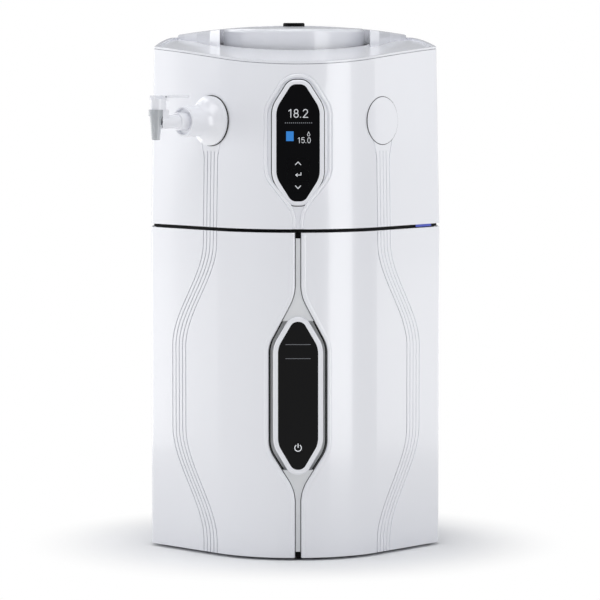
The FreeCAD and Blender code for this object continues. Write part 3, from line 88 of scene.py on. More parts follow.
# What a surface has where its own look doesn't say otherwise, sizes in millimetres
plainLook = {
    "patch": 111.1,  # the slow change between the two tones
    "patchDetail": 3.0,
    "grain": 1.1111,  # the fine unevenness of the surface
    "detail": 2.0,
    "stretch": (1, 1, 1),  # under 1 draws the grain out along that axis
    "glossSpan": (0.3, 0.7),  # the noise values between which the gloss changes
    "bump": 0.1,
    "relief": 0.1,
    "shader": {},
}


def surfaceFinish(name, ownLook):
    # A moulded, painted or machined surface: two tones, uneven gloss and a fine bump
    look = {**plainLook, **ownLook}
    material, tree, shader, coords = newMaterial(name)
    drawn = addNode(tree, "ShaderNodeMapping", {"Vector": coords, "Scale": look["stretch"]})
    patches = addNode(tree, "ShaderNodeTexNoise", {
        "Vector": coords, "Scale": 1 / (look["patch"] * mm), "Detail": look["patchDetail"]})
    grain = addNode(tree, "ShaderNodeTexNoise", {
        "Vector": drawn.outputs[0], "Scale": 1 / (look["grain"] * mm), "Detail": look["detail"]})
    tone = addNode(tree, "ShaderNodeMix", {
        0: patches.outputs[0], 6: hexLinear(look["colour"]), 7: hexLinear(look["other"])},
        data_type="RGBA")
    (fromValue, toValue), (low, high) = look["glossSpan"], look["roughness"]
    gloss = addNode(tree, "ShaderNodeMapRange", {
        0: grain.outputs[0], 1: fromValue, 2: toValue, 3: low, 4: high})
    bump = addNode(tree, "ShaderNodeBump", {
        "Strength": look["bump"], "Distance": look["relief"] * mm, "Height": grain.outputs[0]})
    tree.links.new(tone.outputs[2], shader.inputs["Base Color"])
    tree.links.new(gloss.outputs[0], shader.inputs["Roughness"])
    tree.links.new(bump.outputs[0], shader.inputs["Normal"])
    for key, value in look["shader"].items():
        shader.inputs[key].default_value = value
    return material


looks = {
    # ABS moulded in a polished tool: a clear gloss with soft, slightly cool white under it
    "gloss_white_shell": {
        "colour": "#F3F4F8", "other": "#F0F1F6", "roughness": (0.16, 0.22), "grain": 1.4286,
        "bump": 0.02, "shader": {"IOR": 1.5, "Coat Weight": 0.25, "Coat Roughness": 0.06,
                                 "Subsurface Weight": 0.0}},
    # Moulded nylon: satin, a little greyer than the shell
    "white_nylon": {
        "colour": "#E8E9EA", "other": "#E2E4E6", "roughness": (0.4, 0.52), "grain": 0.6667,
        "bump": 0.12},
    # Back-printed acrylic: deep black with a smooth, faint reflection
    "black_gloss_panel": {
        "colour": "#030304", "other": "#050507", "roughness": (0.07, 0.1), "grain": 2.0,
        "bump": 0.01, "shader": {"IOR": 1.28, "Specular IOR Level": 0.35}},
    # Moulded ABS, matt: stays black in the shadow gap
    "black_plastic": {
        "colour": "#030304", "other": "#050506", "roughness": (0.5, 0.6), "grain": 0.5556,
        "bump": 0.2, "shader": {"Specular IOR Level": 0.08}},
    # Moulded polypropylene, natural: lets some light through at its thin edges
    "grey_translucent": {
        "colour": "#D6D9DC", "other": "#CDD1D5", "roughness": (0.16, 0.24), "grain": 1.6667,
        "bump": 0.03, "shader": {"Transmission Weight": 0.35, "IOR": 1.45}},
    # Moulded ABS from a sparked tool: dull mid grey
    "grey_plastic": {
        "colour": "#8D9093", "other": "#858A8E", "roughness": (0.4, 0.55), "grain": 0.625,
        "bump": 0.2},
    # Cast acrylic lit from its end: a weak blue glow
    "blue_light_guide": {
        "colour": "#1B2F8C", "other": "#16277A", "roughness": (0.3, 0.4), "bump": 0.05,
        "shader": {"Emission Color": hexLinear("#2440C8"), "Emission Strength": 0.35}},
    # Moulded EPDM rubber: soft black with almost no highlight
    "rubber_black": {
        "colour": "#1B1B1B", "other": "#242424", "roughness": (0.7, 0.85), "grain": 0.4545,
        "bump": 0.35},
    # Moulded silicone: milky, with a waxy sheen
    "silicone_seal": {
        "colour": "#D9DBDD", "other": "#CDD0D3", "roughness": (0.45, 0.6), "grain": 0.7692,
        "bump": 0.15, "shader": {"Transmission Weight": 0.2}},
    # Blow-moulded polyethylene: milky white with a slight orange peel
    "natural_polyethylene": {
        "colour": "#DDE0DC", "other": "#D2D6D1", "roughness": (0.42, 0.58), "grain": 1.4286,
        "bump": 0.25, "shader": {"Transmission Weight": 0.12}},
    # Rolled stainless sheet: the grain runs across the width
    "steel_sheet": {
        "colour": "#A9ABAD", "other": "#9EA1A4", "roughness": (0.28, 0.42),
        "stretch": (0.03, 1, 1), "detail": 4.0, "bump": 0.3, "shader": {"Metallic": 1.0}},
    # Ground steel rod: bright, with the grain along its length
    "steel_pin": {
        "colour": "#B3B5B8", "other": "#A7A9AC", "roughness": (0.2, 0.34), "grain": 0.8333,
        "stretch": (1, 1, 0.06), "bump": 0.2, "shader": {"Metallic": 1.0}},
    # Powder-coated steel: even grey with a fine texture
    "grey_painted_metal": {
        "colour": "#6A6D70", "other": "#74777A", "roughness": (0.35, 0.5), "grain": 0.9091,
        "bump": 0.3},
    # Brushed aluminium: pale metal with upright streaks
    "aluminium_case": {
        "colour": "#C2C4C6", "other": "#B4B7BA", "roughness": (0.3, 0.45), "grain": 1.0,
        "stretch": (1, 1, 0.05), "bump": 0.25, "shader": {"Metallic": 1.0}},
    # Glass-fibre board under solder lacquer: green with a wet gloss
    "green_board": {
        "colour": "#0D5A2C", "other": "#0A4A24", "roughness": (0.25, 0.4), "grain": 0.7143,
        "bump": 0.2, "shader": {"Coat Weight": 0.5}},
    # Extruded polyurethane tube: clear blue, smooth
    "blue_tubing": {
        "colour": "#2E66C8", "other": "#2A5CB6", "roughness": (0.25, 0.35), "bump": 0.05,
        "shader": {"Transmission Weight": 0.15}},
    # Turned brass: warm and bright with fine tool marks
    "brass_valve": {
        "colour": "#C09A55", "other": "#B08B4A", "roughness": (0.25, 0.4), "grain": 0.8333,
        "bump": 0.2, "shader": {"Metallic": 1.0}},
}
materials = {slot: surfaceFinish(slot, look) for slot, look in looks.items()}
slotOf = {part["node"]: part["material_slot"] for part in frame["record"]["subparts"]}
for node, obj in nodes.items():
    obj.data.materials.clear()
    obj.data.materials.append(materials[slotOf[node]])
print("materials", len(materials))

# The lit display's grid: the pixel in millimetres, drawn as coarse as it needs to show
pixelGrid = {"pixel": 1.2, "gap": 0.06, "gapShade": 0.7, "unlit": (0.01, 0.01, 0.01, 1)}


def glow(name, code, strength):
    # A lit display element, with the faint grid of its pixels
    material, tree, shader, coords = newMaterial(name)
    lit = hexLinear(code)
    brick = addNode(tree, "ShaderNodeTexBrick", {
        "Vector": coords, "Scale": 1 / (pixelGrid["pixel"] * mm), "Mortar Size": pixelGrid["gap"],
        "Color1": lit, "Color2": lit,
        "Mortar": [c * pixelGrid["gapShade"] for c in lit[:3]] + [1.0]})
    tree.links.new(brick.outputs[0], shader.inputs["Emission Color"])
    shader.inputs["Base Color"].default_value = pixelGrid["unlit"]
    shader.inputs["Emission Strength"].default_value = strength
    return material


glowWhite = glow("display_white_pixels", "#F2F5FA", 0.95)
glowGrey = glow("display_grey_pixels", "#8E9299", 0.7)
glowBlue = glow("display_blue_pixels", "#1490F0", 0.95)
# Screen ink: flat grey on the black panel
printGrey = surfaceFinish("printed_grey_line", {
    "colour": "#6E7075", "other": "#66686D", "roughness": (0.3, 0.4)})
# Painted shade: the shell's white made duller and greyer for the shaded bottoms of the grooves
grooveShadeGrey = surfaceFinish("painted_groove_shade", {
    "colour": "#A2A5AC", "other": "#999CA4", "roughness": (0.45, 0.6)})
# Brushed foil label: silver with level streaks
foil = surfaceFinish("brushed_foil_label", {
    "colour": "#C9CBCE", "other": "#BFC2C5", "roughness": (0.3, 0.42),
    "stretch": (0.04, 1, 1), "bump": 0.2, "shader": {"Metallic": 0.8}})


def makePiece(name, mesh, material, body):
    piece = bpy.data.objects.new(name, mesh)
    bpy.context.scene.collection.objects.link(piece)
    mesh.materials.append(material)
    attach(piece, body)


def meshFrom(name, bm, sharpAngle=35.0):
    # Smooth shading, with edges sharper than the angle left crisp
    bmesh.ops.recalc_face_normals(bm, faces=bm.faces)
    for face in bm.faces:
        face.smooth = True
    for edge in bm.edges:
        if len(edge.link_faces) == 2 and edge.calc_face_angle(0) > math.radians(sharpAngle):
            edge.smooth = False
    mesh = bpy.data.meshes.new(name)
    bm.to_mesh(mesh)
    bm.free()
    return mesh


def addPlates(name, outlines, depth, thickness, material, body="cabinet"):
    # Flat marks (outlines of x, z in millimetres) on a front-facing black panel
    bm = bmesh.new()
    for outline in outlines:
        face = bm.faces.new([bm.verts.new(spot(x, depth - thickness, z)) for x, z in outline])
        walls = bmesh.ops.extrude_edge_only(bm, edges=face.edges)
        back = [item for item in walls["geom"] if isinstance(item, bmesh.types.BMVert)]
        bmesh.ops.translate(bm, verts=back, vec=(0, thickness * mm, 0))
    makePiece(name, meshFrom(name, bm), material, body)


def turns(steps):
    return [i * math.tau / steps for i in range(steps)]


def stroke(points, width):
    # The outlines of a bent line with round ends: quads for its stretches, discs at its points
    shapes = []
    half = width / 2
    for (x0, z0), (x1, z1) in zip(points, points[1:]):
        length = math.hypot(x1 - x0, z1 - z0)
        nx, nz = -(z1 - z0) / length * half, (x1 - x0) / length * half
        shapes.append([(x0 - nx, z0 - nz), (x1 - nx, z1 - nz),
                       (x1 + nx, z1 + nz), (x0 + nx, z0 + nz)])
    for x, z in points:
        shapes.append([(x + half * math.cos(a), z + half * math.sin(a)) for a in turns(16)])
    return shapes


def rectangle(x0, z0, x1, z1):
    return [(x0, z0), (x1, z0), (x1, z1), (x0, z1)]


def arcLine(x, z, rx, rz, start, end, steps=14):
    angles = [math.radians(start + (end - start) * i / steps) for i in range(steps + 1)]
    return [(x + rx * math.cos(a), z + rz * math.sin(a)) for a in angles]


# Each character as bent lines in a box one unit high
digitLines = {
    "0": [arcLine(0, 0, 0.25, 0.46, 90, 450, 22)],
    "1": [[(-0.2, 0.27), (0.04, 0.46), (0.04, -0.46)]],
    "2": [arcLine(0, 0.21, 0.25, 0.25, 165, -35) + [(-0.26, -0.46), (0.28, -0.46)]],
    "5": [[(0.22, 0.46), (-0.18, 0.46), (-0.23, 0.02)]
          + arcLine(0, -0.15, 0.25, 0.31, 125, -155)],
    "8": [arcLine(0, 0.23, 0.21, 0.23, 90, 450, 18), arcLine(0, -0.22, 0.25, 0.24, 90, 450, 18)],
    ".": [[(-0.02, -0.44), (0.02, -0.44)]],
}


def digits(text, places, z, height, weight=0.1):
    shapes = []
    for character, x in zip(text, places):
        for line in digitLines[character]:
            shapes += stroke([(x + u * height, z + v * height) for u, v in line], height * weight)
    return shapes


# The display's lit marks, in millimetres from the panel's middle and up from the bench
display = {
    "face": 2.8,  # the window's front, behind the front plane
    "proud": 0.06,
    "main": {"text": "18.2", "places": (-10.41, -2.637, 3.47, 10.132), "z": 620.594,
             "height": 11.8},
    "small": {"text": "15.0", "places": (1.527, 6.801, 10.688, 15.129), "z": 583.673,
              "height": 7.9},
    "dots": {"count": 14, "left": -17.35, "pitch": 2.776, "half": 0.7, "z": 607.546},
    "level": (-16.378, 582.562, -6.107, 595.887),  # left, low, right, high
    "drop": {"x": 14.574, "z": 591.168, "radius": 1.7, "tip": 2.4, "taper": 0.28, "line": 0.7},
}


def displayMarks():
    face, proud = display["face"], display["proud"]
    addPlates("reading_main", digits(**display["main"]), face, proud, glowWhite)
    addPlates("reading_small", digits(**display["small"]), face, proud, glowWhite)
    dots = display["dots"]
    z, half = dots["z"], dots["half"]
    middles = [dots["left"] + i * dots["pitch"] for i in range(dots["count"])]
    squares = [rectangle(x - half, z - half, x + half, z + half) for x in middles]
    addPlates("reading_dots", squares, face, proud, glowGrey)
    addPlates("level_icon", [rectangle(*display["level"])], face, proud, glowBlue)
    drop = display["drop"]
    outline = []
    for a in turns(24):
        pull = max(0.0, math.sin(a)) ** 3 * drop["tip"]
        outline.append((drop["x"] + drop["radius"] * math.cos(a) * (1 - pull * drop["taper"]),
                        drop["z"] + drop["radius"] * math.sin(a) + pull))
    addPlates("drop_icon", stroke(outline + outline[:1], drop["line"]), face, proud, glowWhite)


# The marks on the three keys: bent lines of x, z about each key's own level
keyMarks = {
    "up_key": {"z": 551.888, "line": 1.15, "strokes": [[(-3.6, -1.9), (0, 1.9), (3.6, -1.9)]]},
    "enter_key": {"z": 536.342, "line": 1.1,
                  "strokes": [[(4.0, 2.6), (4.0, -0.6), (-2.6, -0.6)],
                              [(-1.0, 1.2), (-3.2, -0.6), (-1.0, -2.4)]]},
    "down_key": {"z": 518.992, "line": 1.15, "strokes": [[(-3.6, 1.9), (0, -1.9), (3.6, 1.9)]]},
}


def markKeys():
    for key, mark in keyMarks.items():
        shapes = []
        for points in mark["strokes"]:
            shapes += stroke([(x, mark["z"] + z) for x, z in points], mark["line"])
        addPlates(key + "_mark", shapes, display["face"], display["proud"], glowWhite,
                  key + "_body")


# The pod's two printed lines and the mark on its power button
pod = {
    "face": 1.8,
    "proud": 0.06,
    "lines": {"levels": (301.3, 281.8), "halfWidth": 17.4, "half": 0.45},
    "power": {"z": 157.5, "radius": 4.6, "gap": 38.0, "steps": 26, "bar": (0.6, 5.6),
              "line": 1.1, "proud": 0.12},
}


def podMarks():
    lines, power = pod["lines"], pod["power"]
    width, half = lines["halfWidth"], lines["half"]
    shapes = [rectangle(-width, z - half, width, z + half) for z in lines["levels"]]
    addPlates("pod_lines", shapes, pod["face"], pod["proud"], printGrey)
    step = (360 - 2 * power["gap"]) / power["steps"]
    angles = [math.radians(power["gap"] + i * step) for i in range(power["steps"] + 1)]
    ring = [(power["radius"] * math.sin(a), power["z"] + power["radius"] * math.cos(a))
            for a in angles]
    bar = [(0, power["z"] + rise) for rise in power["bar"]]
    shapes = stroke(ring, power["line"]) + stroke(bar, power["line"])
    addPlates("power_mark", shapes, pod["face"], power["proud"], glowWhite, "power_key")


def cornerArc(before, corner, after, radius, steps=10):
    # Points of the arc that rounds one corner of an outline
    here = Vector(corner)
    a, b = (Vector(before) - here).normalized(), (Vector(after) - here).normalized()
    half = a.angle(b) / 2
    centre = here + (a + b).normalized() * (radius / math.sin(half))
    start = here + a * (radius / math.tan(half)) - centre
    end = here + b * (radius / math.tan(half)) - centre
    turn = start.angle(end)
    points = []
    for k in range(steps + 1):
        t = k / steps
        mixed = start * math.sin((1 - t) * turn) + end * math.sin(t * turn)
        point = centre + mixed / math.sin(turn)
        points.append((point.x, point.y))
    return points


def closedOutline(corners, steps=10):
    # Corners are x, z and the radius that rounds them
    count = len(corners)
    points = []
    for i, (x, z, radius) in enumerate(corners):
        points += cornerArc(corners[i - 1][:2], (x, z), corners[(i + 1) % count][:2], radius, steps)
    return points


def bentLine(corners, steps=10):
    # An open line whose inner corners are rounded
    points = [corners[0][:2]]
    for before, (x, z, radius), after in zip(corners, corners[1:], corners[2:]):
        points += cornerArc(before[:2], (x, z), after[:2], radius, steps)
    return points + [corners[-1][:2]]


def divided(points, longest=8.0):
    # The same line with no stretch longer than the given one
    result = [points[0]]
    for start, end in zip(points, points[1:]):
        parts = max(1, math.ceil(math.dist(start, end) / longest))
        for k in range(1, parts + 1):
            result.append((start[0] + (end[0] - start[0]) * k / parts,
                           start[1] + (end[1] - start[1]) * k / parts))
    return result


def offsetLine(points, distance, closed=False):
    # Moved sideways: to the right of its own direction
    moved = []
    last = len(points) - 1
    for i, point in enumerate(points):
        before = points[i - 1] if closed else points[max(i - 1, 0)]
        after = points[(i + 1) % len(points)] if closed else points[min(i + 1, last)]
        along = (Vector(after) - Vector(before)).normalized()
        moved.append((point[0] + along.y * distance, point[1] - along.x * distance))
    return moved


def leanIn(z):
    # How far the housing's face stands in at a level
    return max(0.0, z - front["seamTop"]) * front["draft"]


def surfaceDepth(x, z):
    # How far the curved front lies behind the front plane
    radius = front["radius"] - leanIn(z)
    return front["radius"] - math.sqrt(radius ** 2 - x ** 2)


def bandMesh(name, rows, closed, capped=False):
    # A skin bridged through lines of (x, depth, z) points; the last joins the first unless capped
    bm = bmesh.new()
    lines = []
    for row in rows:
        verts = [bm.verts.new(spot(*point)) for point in row]
        ends = zip(verts, verts[1:] + verts[:1]) if closed else zip(verts, verts[1:])
        lines.append([bm.edges.new(pair) for pair in ends])
    for low, high in zip(lines, lines[1:] if capped else lines[1:] + lines[:1]):
        bmesh.ops.bridge_loops(bm, edges=low + high)
    rims = [edge for edge in bm.edges if edge.is_boundary]
    bmesh.ops.holes_fill(bm, edges=rims, sides=0)
    return meshFrom(name, bm)


def flatRows(line, section, closed=False):
    # A line repeated at each sideways offset and depth of a section
    return [[(x, depth, z) for x, z in offsetLine(line, aside, closed)]
            for aside, depth in section]


def surfaceRows(line, section, closed=False):
    # The same, with the depths measured from the curved front
    return [[(x, surfaceDepth(x, z) + sunk, z) for x, z in offsetLine(line, aside, closed)]
            for aside, sunk in section]


def beadRows(line, bead, steps=8, fullness=0.8):
    # A low rounded bead along a line on the front surface
    height = bead["rise"] + bead["sunk"]
    angles = [math.pi * k / steps for k in range(steps + 1)]
    return surfaceRows(offsetLine(line, bead["aside"]), [
        (bead["half"] * math.cos(a), bead["sunk"] - height * math.sin(a) ** fullness)
        for a in angles])


def mirroredRows(rows):
    return [[(-x, depth, z) for x, depth, z in row] for row in rows]


# The right door's edge along channel and pod: corners of x, z and rounding, the bead on it,
# and sections (offset, depth) of the black rubber behind it, painted shade in channel and trough
doorEdge = {
    "corners": [(4.15, 8.0, 0), (4.15, 97.0, 60.0), (40.3, 155.0, 44.0), (40.3, 300.0, 44.0),
                (4.15, 369.0, 60.0), (4.15, 452.0, 0)],
    "lip": {"aside": 3.9, "half": 2.9, "rise": 0.9, "sunk": 0.5},
    "strip": ((-0.05, 8.6), (-0.7, 9.0), (-0.7, 12.6), (-0.05, 13.0)),
    "troughShade": ((-0.9, 16.9), (-0.9, 16.0), (-2.4, 16.0), (-2.4, 16.9)),
    "troughShadeSpan": (118, 342),
}


def doorTrims():
    # A rolled lip on each door's edge, and black rubber on its flange and round the pod: painted
    # shade
    line = divided(bentLine(doorEdge["corners"]))
    low, high = doorEdge["troughShadeSpan"]
    lip = beadRows(line, doorEdge["lip"])
    strip = flatRows(line, doorEdge["strip"])
    troughShade = flatRows([p for p in line if low < p[1] < high], doorEdge["troughShade"])
    shell, rubber = "gloss_white_shell", "rubber_black"
    for side, turn in (("left", mirroredRows), ("right", list)):
        for name, rows, body, slot in (
                (side + "_door_lip", lip, side + "_door_leaf", shell),
                (side + "_pod_trough_shade", troughShade, "cabinet", rubber),
                (side + "_door_edge_strip", strip, side + "_door_leaf", rubber)):
            makePiece(name, bandMesh(name, turn(rows), False), materials[slot], body)


# The side facets, with the axis that the tap and the blanking disc stand on
facet = {"angle": math.radians(48.0), "along": 14.9, "height": 609.0}
# Black rings that paint the shade in the gaps round the collar and the disc
rings = {
    "collar_shade_ring": {"side": -1, "inner": 34.2, "outer": 35.5, "lift": 0.9},
    "blank_shade_ring": {"side": 1, "inner": 33.0, "outer": 33.8, "lift": 0.12},
}
ringFoot = -0.6  # how deep a shade ring goes into the facet


def facetSpot(side, across, z, lift):
    # A point on a side facet; across runs outwards from the tap's axis or the disc's
    a, radius = facet["angle"], front["radius"]
    along, out = facet["along"] + across, lift - leanIn(z)
    x = radius * math.sin(a) + along * math.cos(a) + out * math.sin(a)
    depth = radius * (1 - math.cos(a)) + along * math.sin(a) - out * math.cos(a)
    return side * x, depth, z


def facetRings():
    # Black rings round the tap's collar and the blanking disc: painted shade in the gaps round them
    for name, ring in rings.items():
        inner, outer, lift = ring["inner"], ring["outer"], ring["lift"]
        section = ((inner, ringFoot), (outer, ringFoot), (outer, lift), (inner, lift))
        rows = [[facetSpot(ring["side"], radius * math.cos(a),
                           facet["height"] + radius * math.sin(a), height) for a in turns(96)]
                for radius, height in section]
        makePiece(name, bandMesh(name, rows, True), materials["rubber_black"], "cabinet")


groove = {
    "pitch": 6.9,
    "half": 0.45,
    "lift": -0.7,
    "sink": 0.15,
    "steps": 60,
    "swing": 65.4,  # how far the doors' grooves run outwards, and over which levels
    "swingTop": 440.0,
    "topRun": 150.0,
    "swingFoot": 20.0,
    "footRun": 155.0,
    "splay": 6.0,  # how the outer two spread below the tap or the disc
    "splayLength": 30.0,
    "belowAxis": 34.5,
    "spans": {"door": (4.6, 455.4), "housing": (461.6, 566.0)},
    "shown": {"left": range(5), "right": range(1)},  # one clear line on the right, as in the photo
}


def smoothStep(value):
    t = max(0.0, min(1.0, value))
    return t * t * (3 - 2 * t)


def grooveAcross(index, z):
    # Where a groove runs: swinging outwards on the door, splayed below the tap or disc
    across = (index - 2) * groove["pitch"]
    if z < front["seamTop"]:
        below = smoothStep((groove["swingTop"] - z) / groove["topRun"])
        above = smoothStep((z - groove["swingFoot"]) / groove["footRun"])
        return across + groove["swing"] * min(below, above)
    length = groove["splayLength"]
    spread = {0: -groove["splay"], 4: groove["splay"]}.get(index, 0.0)
    top = facet["height"] - groove["belowAxis"] + length / 3
    return across + spread * smoothStep((z - top + length) / length)


def grooveShadeStrips():
    # Grey strips in the grooves: painted shade for their shaded bottoms
    half, lift, deep = groove["half"], groove["lift"], groove["lift"] - groove["sink"]
    section = ((-half, deep), (-half, lift), (half, lift), (half, deep))
    for side, name in ((-1, "left"), (1, "right")):
        for part, (low, high) in groove["spans"].items():
            body = name + "_door_leaf" if part == "door" else "cabinet"
            steps = groove["steps"]
            levels = [low + (high - low) * i / steps for i in range(steps + 1)]
            for index in groove["shown"][name]:
                rows = [[facetSpot(side, grooveAcross(index, z) + shift, z, height)
                         for z in levels] for shift, height in section]
                piece = f"{name}_{part}_groove_{index + 1}"
                makePiece(piece, bandMesh(piece, rows, False), grooveShadeGrey, body)


# A bare foil plate, and the collets in the mouths of the two push-in fittings
rear = {
    "plate": [(-15.0, 128.0, 3.0), (-15.0, 158.0, 3.0), (-105.0, 158.0, 3.0),
              (-105.0, 128.0, 3.0)],
    "plateSection": ((0, 374.9), (0, 375.35), (-0.3, 375.5)),
    "colletHeight": 66.0,
    "colletSection": ((4.1, 366.0), (4.1, 369.6), (6.6, 369.2), (6.6, 368.0), (5.2, 367.6),
                      (5.2, 366.0)),
    "collets": {"feed_collet": 40.0, "drain_collet": 78.0},
}


def circleRow(x, z, radius, depth, steps=48):
    return [(x + radius * math.cos(a), depth, z + radius * math.sin(a)) for a in turns(steps)]


def rearDetails():
    rows = flatRows(closedOutline(rear["plate"], 5), rear["plateSection"], True)
    makePiece("rating_plate", bandMesh("rating_plate", rows, True, True), foil, "cabinet")
    for name, x in rear["collets"].items():
        rows = [circleRow(x, rear["colletHeight"], radius, depth)
                for radius, depth in rear["colletSection"]]
        makePiece(name, bandMesh(name, rows, True), materials["blue_tubing"], "cabinet")


# A coloured band and a bare foil label round each purification pack
pack = {
    "aside": 105.0,
    "depth": 165.0,
    "inner": 44.9,
    "outer": 45.25,
    "wraps": {"band": (340.0, 352.0, materials["blue_tubing"], "blue_tubing"),
              "label": (170.0, 290.0, foil, "aluminium_case")},
}


def packBands():
    inner, outer = pack["inner"], pack["outer"]
    for side, name in ((-1, "left_pack"), (1, "right_pack")):
        for part, (low, high, material, slot) in pack["wraps"].items():
            section = ((inner, low), (outer, low), (outer, high), (inner, high))
            rows = [[(side * pack["aside"] + radius * math.cos(a),
                      pack["depth"] + radius * math.sin(a), z) for a in turns(72)]
                    for radius, z in section]
            piece = f"{name}_{part}"
            makePiece(piece, bandMesh(piece, rows, True), material, name + "_body")


# The window that the trims follow, the section (offset, sunk) of the black ring that paints the
# trench's shade, and the moulding's line
displayFrame = {
    "window": {"centre": 580.0, "width": 60.0, "straight": 95.0, "height": 161.5, "tip": 18.0,
               "bend": 32.0, "tipBend": 11.5},
    "trenchShade": ((6.15, 3.7), (6.15, 2.9), (7.15, 2.9), (7.15, 3.7)),
    "corners": [(7.5, 462.5, 0), (7.5, 484.0, 38.0), (46.5, 534.0, 38.0), (46.5, 628.0, 38.0),
                (18.0, 675.0, 31.0)],
    "bead": {"aside": -2.2, "half": 2.6, "rise": 0.7, "sunk": 2.4},
}


def hexOutline(centre, width, straight, height, tip, bend, tipBend):
    w, h, t, q = width / 2, height / 2, tip / 2, straight / 2
    half = [(t, -h, tipBend), (w, -q, bend), (w, q, bend), (t, h, tipBend)]
    whole = half + [(-x, z, r) for x, z, r in reversed(half)]
    return [(x, centre + z, r) for x, z, r in whole]


def displayTrims():
    # A black ring in the trench round the bezel as painted shade, and the moulding round the
    # display and its stem
    window = divided(closedOutline(hexOutline(**displayFrame["window"])))
    rows = surfaceRows(window, displayFrame["trenchShade"], True)
    makePiece("display_trench_shade", bandMesh("display_trench_shade", rows, True), materials["rubber_black"],
              "cabinet")
    right = displayFrame["corners"]
    line = divided(bentLine(right + [(-x, z, r) for x, z, r in reversed(right)]))
    rows = beadRows(line, displayFrame["bead"])
    makePiece("display_moulding", bandMesh("display_moulding", rows, False),
              materials["gloss_white_shell"], "cabinet")


# The black ends of the channel between the doors
channel = {
    "half": 3.7,
    "bend": 0.6,
    "section": ((0, 16.8), (0, 6.5), (-0.5, 6.0)),
    "stops": {"channel_top_stop": (448.3, 455.7), "channel_bottom_stop": (4.3, 11.7)},
}


def channelStops():
    half, bend = channel["half"], channel["bend"]
    for name, (low, high) in channel["stops"].items():
        corners = [(half, low, bend), (half, high, bend), (-half, high, bend), (-half, low, bend)]
        rows = flatRows(closedOutline(corners, 4), channel["section"], True)
        makePiece(name, bandMesh(name, rows, True, True), materials["black_plastic"], "cabinet")


displayMarks()
markKeys()
podMarks()
channelStops()
doorTrims()
displayTrims()
facetRings()
grooveShadeStrips()
rearDetails()
packBands()
print("details done")

# The floor keeps the object's shadow near it and fades into the white round it
stage = {
    "floorRadius": 6.0,
    "fadeFrom": 0.17,
    "fadeTo": 0.4,
    "patch": 333.3,  # millimetres
    "tones": ("#F6F6F7", "#F3F4F5"),
    "roughness": 0.7,
    "specular": 0.1,
    "ambient": (0.93, 0.95, 1.0, 1),
    "ambientStrength": 0.38,
    "white": (1, 1, 1, 1),
}


def makeFloor():
    bm = bmesh.new()
    bmesh.ops.create_circle(bm, cap_ends=True, radius=stage["floorRadius"], segments=96)
    mesh = meshFrom("floor", bm)
    floor = bpy.data.objects.new("floor", mesh)
    bpy.context.scene.collection.objects.link(floor)
    material, tree, shader, coords = newMaterial("white_sweep")  # painted board, matt
    length = addNode(tree, "ShaderNodeVectorMath", {0: coords}, operation="LENGTH")
    fade = addNode(tree, "ShaderNodeMapRange", {
        0: length.outputs["Value"], 1: stage["fadeFrom"], 2: stage["fadeTo"], 3: 0.0, 4: 1.0},
        interpolation_type="SMOOTHSTEP")
    noise = addNode(tree, "ShaderNodeTexNoise", {
        "Vector": coords, "Scale": 1 / (stage["patch"] * mm)})
    first, second = stage["tones"]
    tone = addNode(tree, "ShaderNodeMix", {
        0: noise.outputs[0], 6: hexLinear(first), 7: hexLinear(second)}, data_type="RGBA")
    tree.links.new(tone.outputs[2], shader.inputs["Base Color"])
    shader.inputs["Roughness"].default_value = stage["roughness"]
    shader.inputs["Specular IOR Level"].default_value = stage["specular"]
    white = addNode(tree, "ShaderNodeEmission", {"Color": stage["white"], "Strength": 1.0})
    both = addNode(tree, "ShaderNodeMixShader", {
        0: fade.outputs[0], 1: shader.outputs[0], 2: white.outputs[0]})
    tree.links.new(both.outputs[0], tree.nodes["Material Output"].inputs["Surface"])
    mesh.materials.append(material)


def makeWorld():
    # A cool, even light; the camera sees white
    world = bpy.data.worlds.new("studio")
    bpy.context.scene.world = world
    world.use_nodes = True
    tree = world.node_tree
    ambient = tree.nodes["Background"]
    ambient.inputs["Color"].default_value = stage["ambient"]
    ambient.inputs["Strength"].default_value = stage["ambientStrength"]
    white = addNode(tree, "ShaderNodeBackground", {"Color": stage["white"], "Strength": 1.0})
    path = addNode(tree, "ShaderNodeLightPath")
    both = addNode(tree, "ShaderNodeMixShader", {
        0: path.outputs["Is Camera Ray"], 1: ambient.outputs[0], 2: white.outputs[0]})
    tree.links.new(both.outputs[0], tree.nodes["World Output"].inputs["Surface"])


# Soft boxes at an azimuth and elevation in degrees, aimed at a level in metres
softboxes = {
    "back_left_softbox": {"azimuth": -140, "elevation": 42, "distance": 2.4, "size": (1.2, 1.2),
                          "power": 9},
    "right_softbox": {"azimuth": 80, "elevation": 22, "distance": 2.4, "size": (1.6, 1.6),
                      "power": 5},
    "top_softbox": {"azimuth": 0, "elevation": 68, "distance": 2.2, "size": (1.8, 1.6),
                    "power": 21},
}
# Panels that show only in the gloss, as the bright walls of a light tent do
glossPanels = {
    "left_wall_panel": {"azimuth": -114, "size": (1.0, 1.3), "power": 12},
    "right_band_panel": {"azimuth": 45, "size": (0.6, 1.3), "power": 8},
    "right_wall_panel": {"azimuth": 112, "size": (1.0, 1.3), "power": 6},
}
panelPlace = {"elevation": 0, "distance": 1.3, "aim": 0.62}
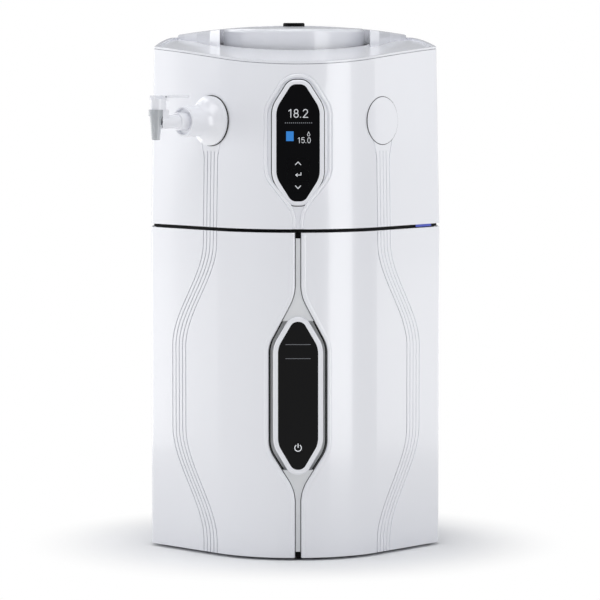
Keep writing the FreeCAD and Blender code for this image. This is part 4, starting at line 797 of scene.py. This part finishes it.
# The side light that casts the tap's soft shadow, left out of the gloss
sideSoftbox = {"azimuth": -86, "elevation": 4, "distance": 2.4, "size": (0.7, 0.7), "power": 8,
               "aim": 0.52}


def areaLight(name, azimuth, elevation, distance, size, power, aim=0.4):
    data = bpy.data.lights.new(name, "AREA")
    data.shape = "RECTANGLE"
    data.size, data.size_y = size
    data.energy = power
    lamp = bpy.data.objects.new(name, data)
    bpy.context.scene.collection.objects.link(lamp)
    a, e = math.radians(azimuth), math.radians(elevation)
    away = Vector((math.sin(a) * math.cos(e), -math.cos(a) * math.cos(e), math.sin(e)))
    lamp.location = Vector((0, 0, aim)) + away * distance
    lamp.rotation_euler = (-away).to_track_quat("-Z", "Y").to_euler()
    return lamp


def lightScene():
    for name, lamp in softboxes.items():
        areaLight(name, **lamp)
    for name, panel in glossPanels.items():
        lamp = areaLight(name, **panel, **panelPlace)
        lamp.visible_diffuse = False
        lamp.visible_camera = False
    areaLight("left_softbox", **sideSoftbox).visible_glossy = False


# The camera, with its picture measured in pixels and its places in metres
view = {
    "distance": 5.0,
    "height": 0.7494,
    "azimuth": -1.4,
    "pitch": 4.416,
    "focalPixels": 3632.0,
    "centrePixel": 298.1,
    "pictureWidth": 600,
    "sensorWidth": 36.0,
    "farthest": 50,
}


def makeCamera():
    data = bpy.data.cameras.new("camera")
    data.sensor_width = view["sensorWidth"]
    data.lens = view["focalPixels"] / view["pictureWidth"] * data.sensor_width
    data.clip_end = view["farthest"]
    camera = bpy.data.objects.new("camera", data)
    bpy.context.scene.collection.objects.link(camera)
    target = spot(0, 0, 0)
    a = math.radians(view["azimuth"])
    camera.location = (target.x + view["distance"] * math.sin(a),
                       target.y - view["distance"] * math.cos(a), view["height"])
    offset = math.atan((view["centrePixel"] - view["pictureWidth"] / 2) / view["focalPixels"])
    camera.rotation_euler = (math.radians(90 - view["pitch"]), 0, a + offset)
    bpy.context.scene.camera = camera


makeFloor()
makeWorld()
lightScene()
makeCamera()
bpy.context.scene.view_settings.view_transform = "Standard"
print("stage done")
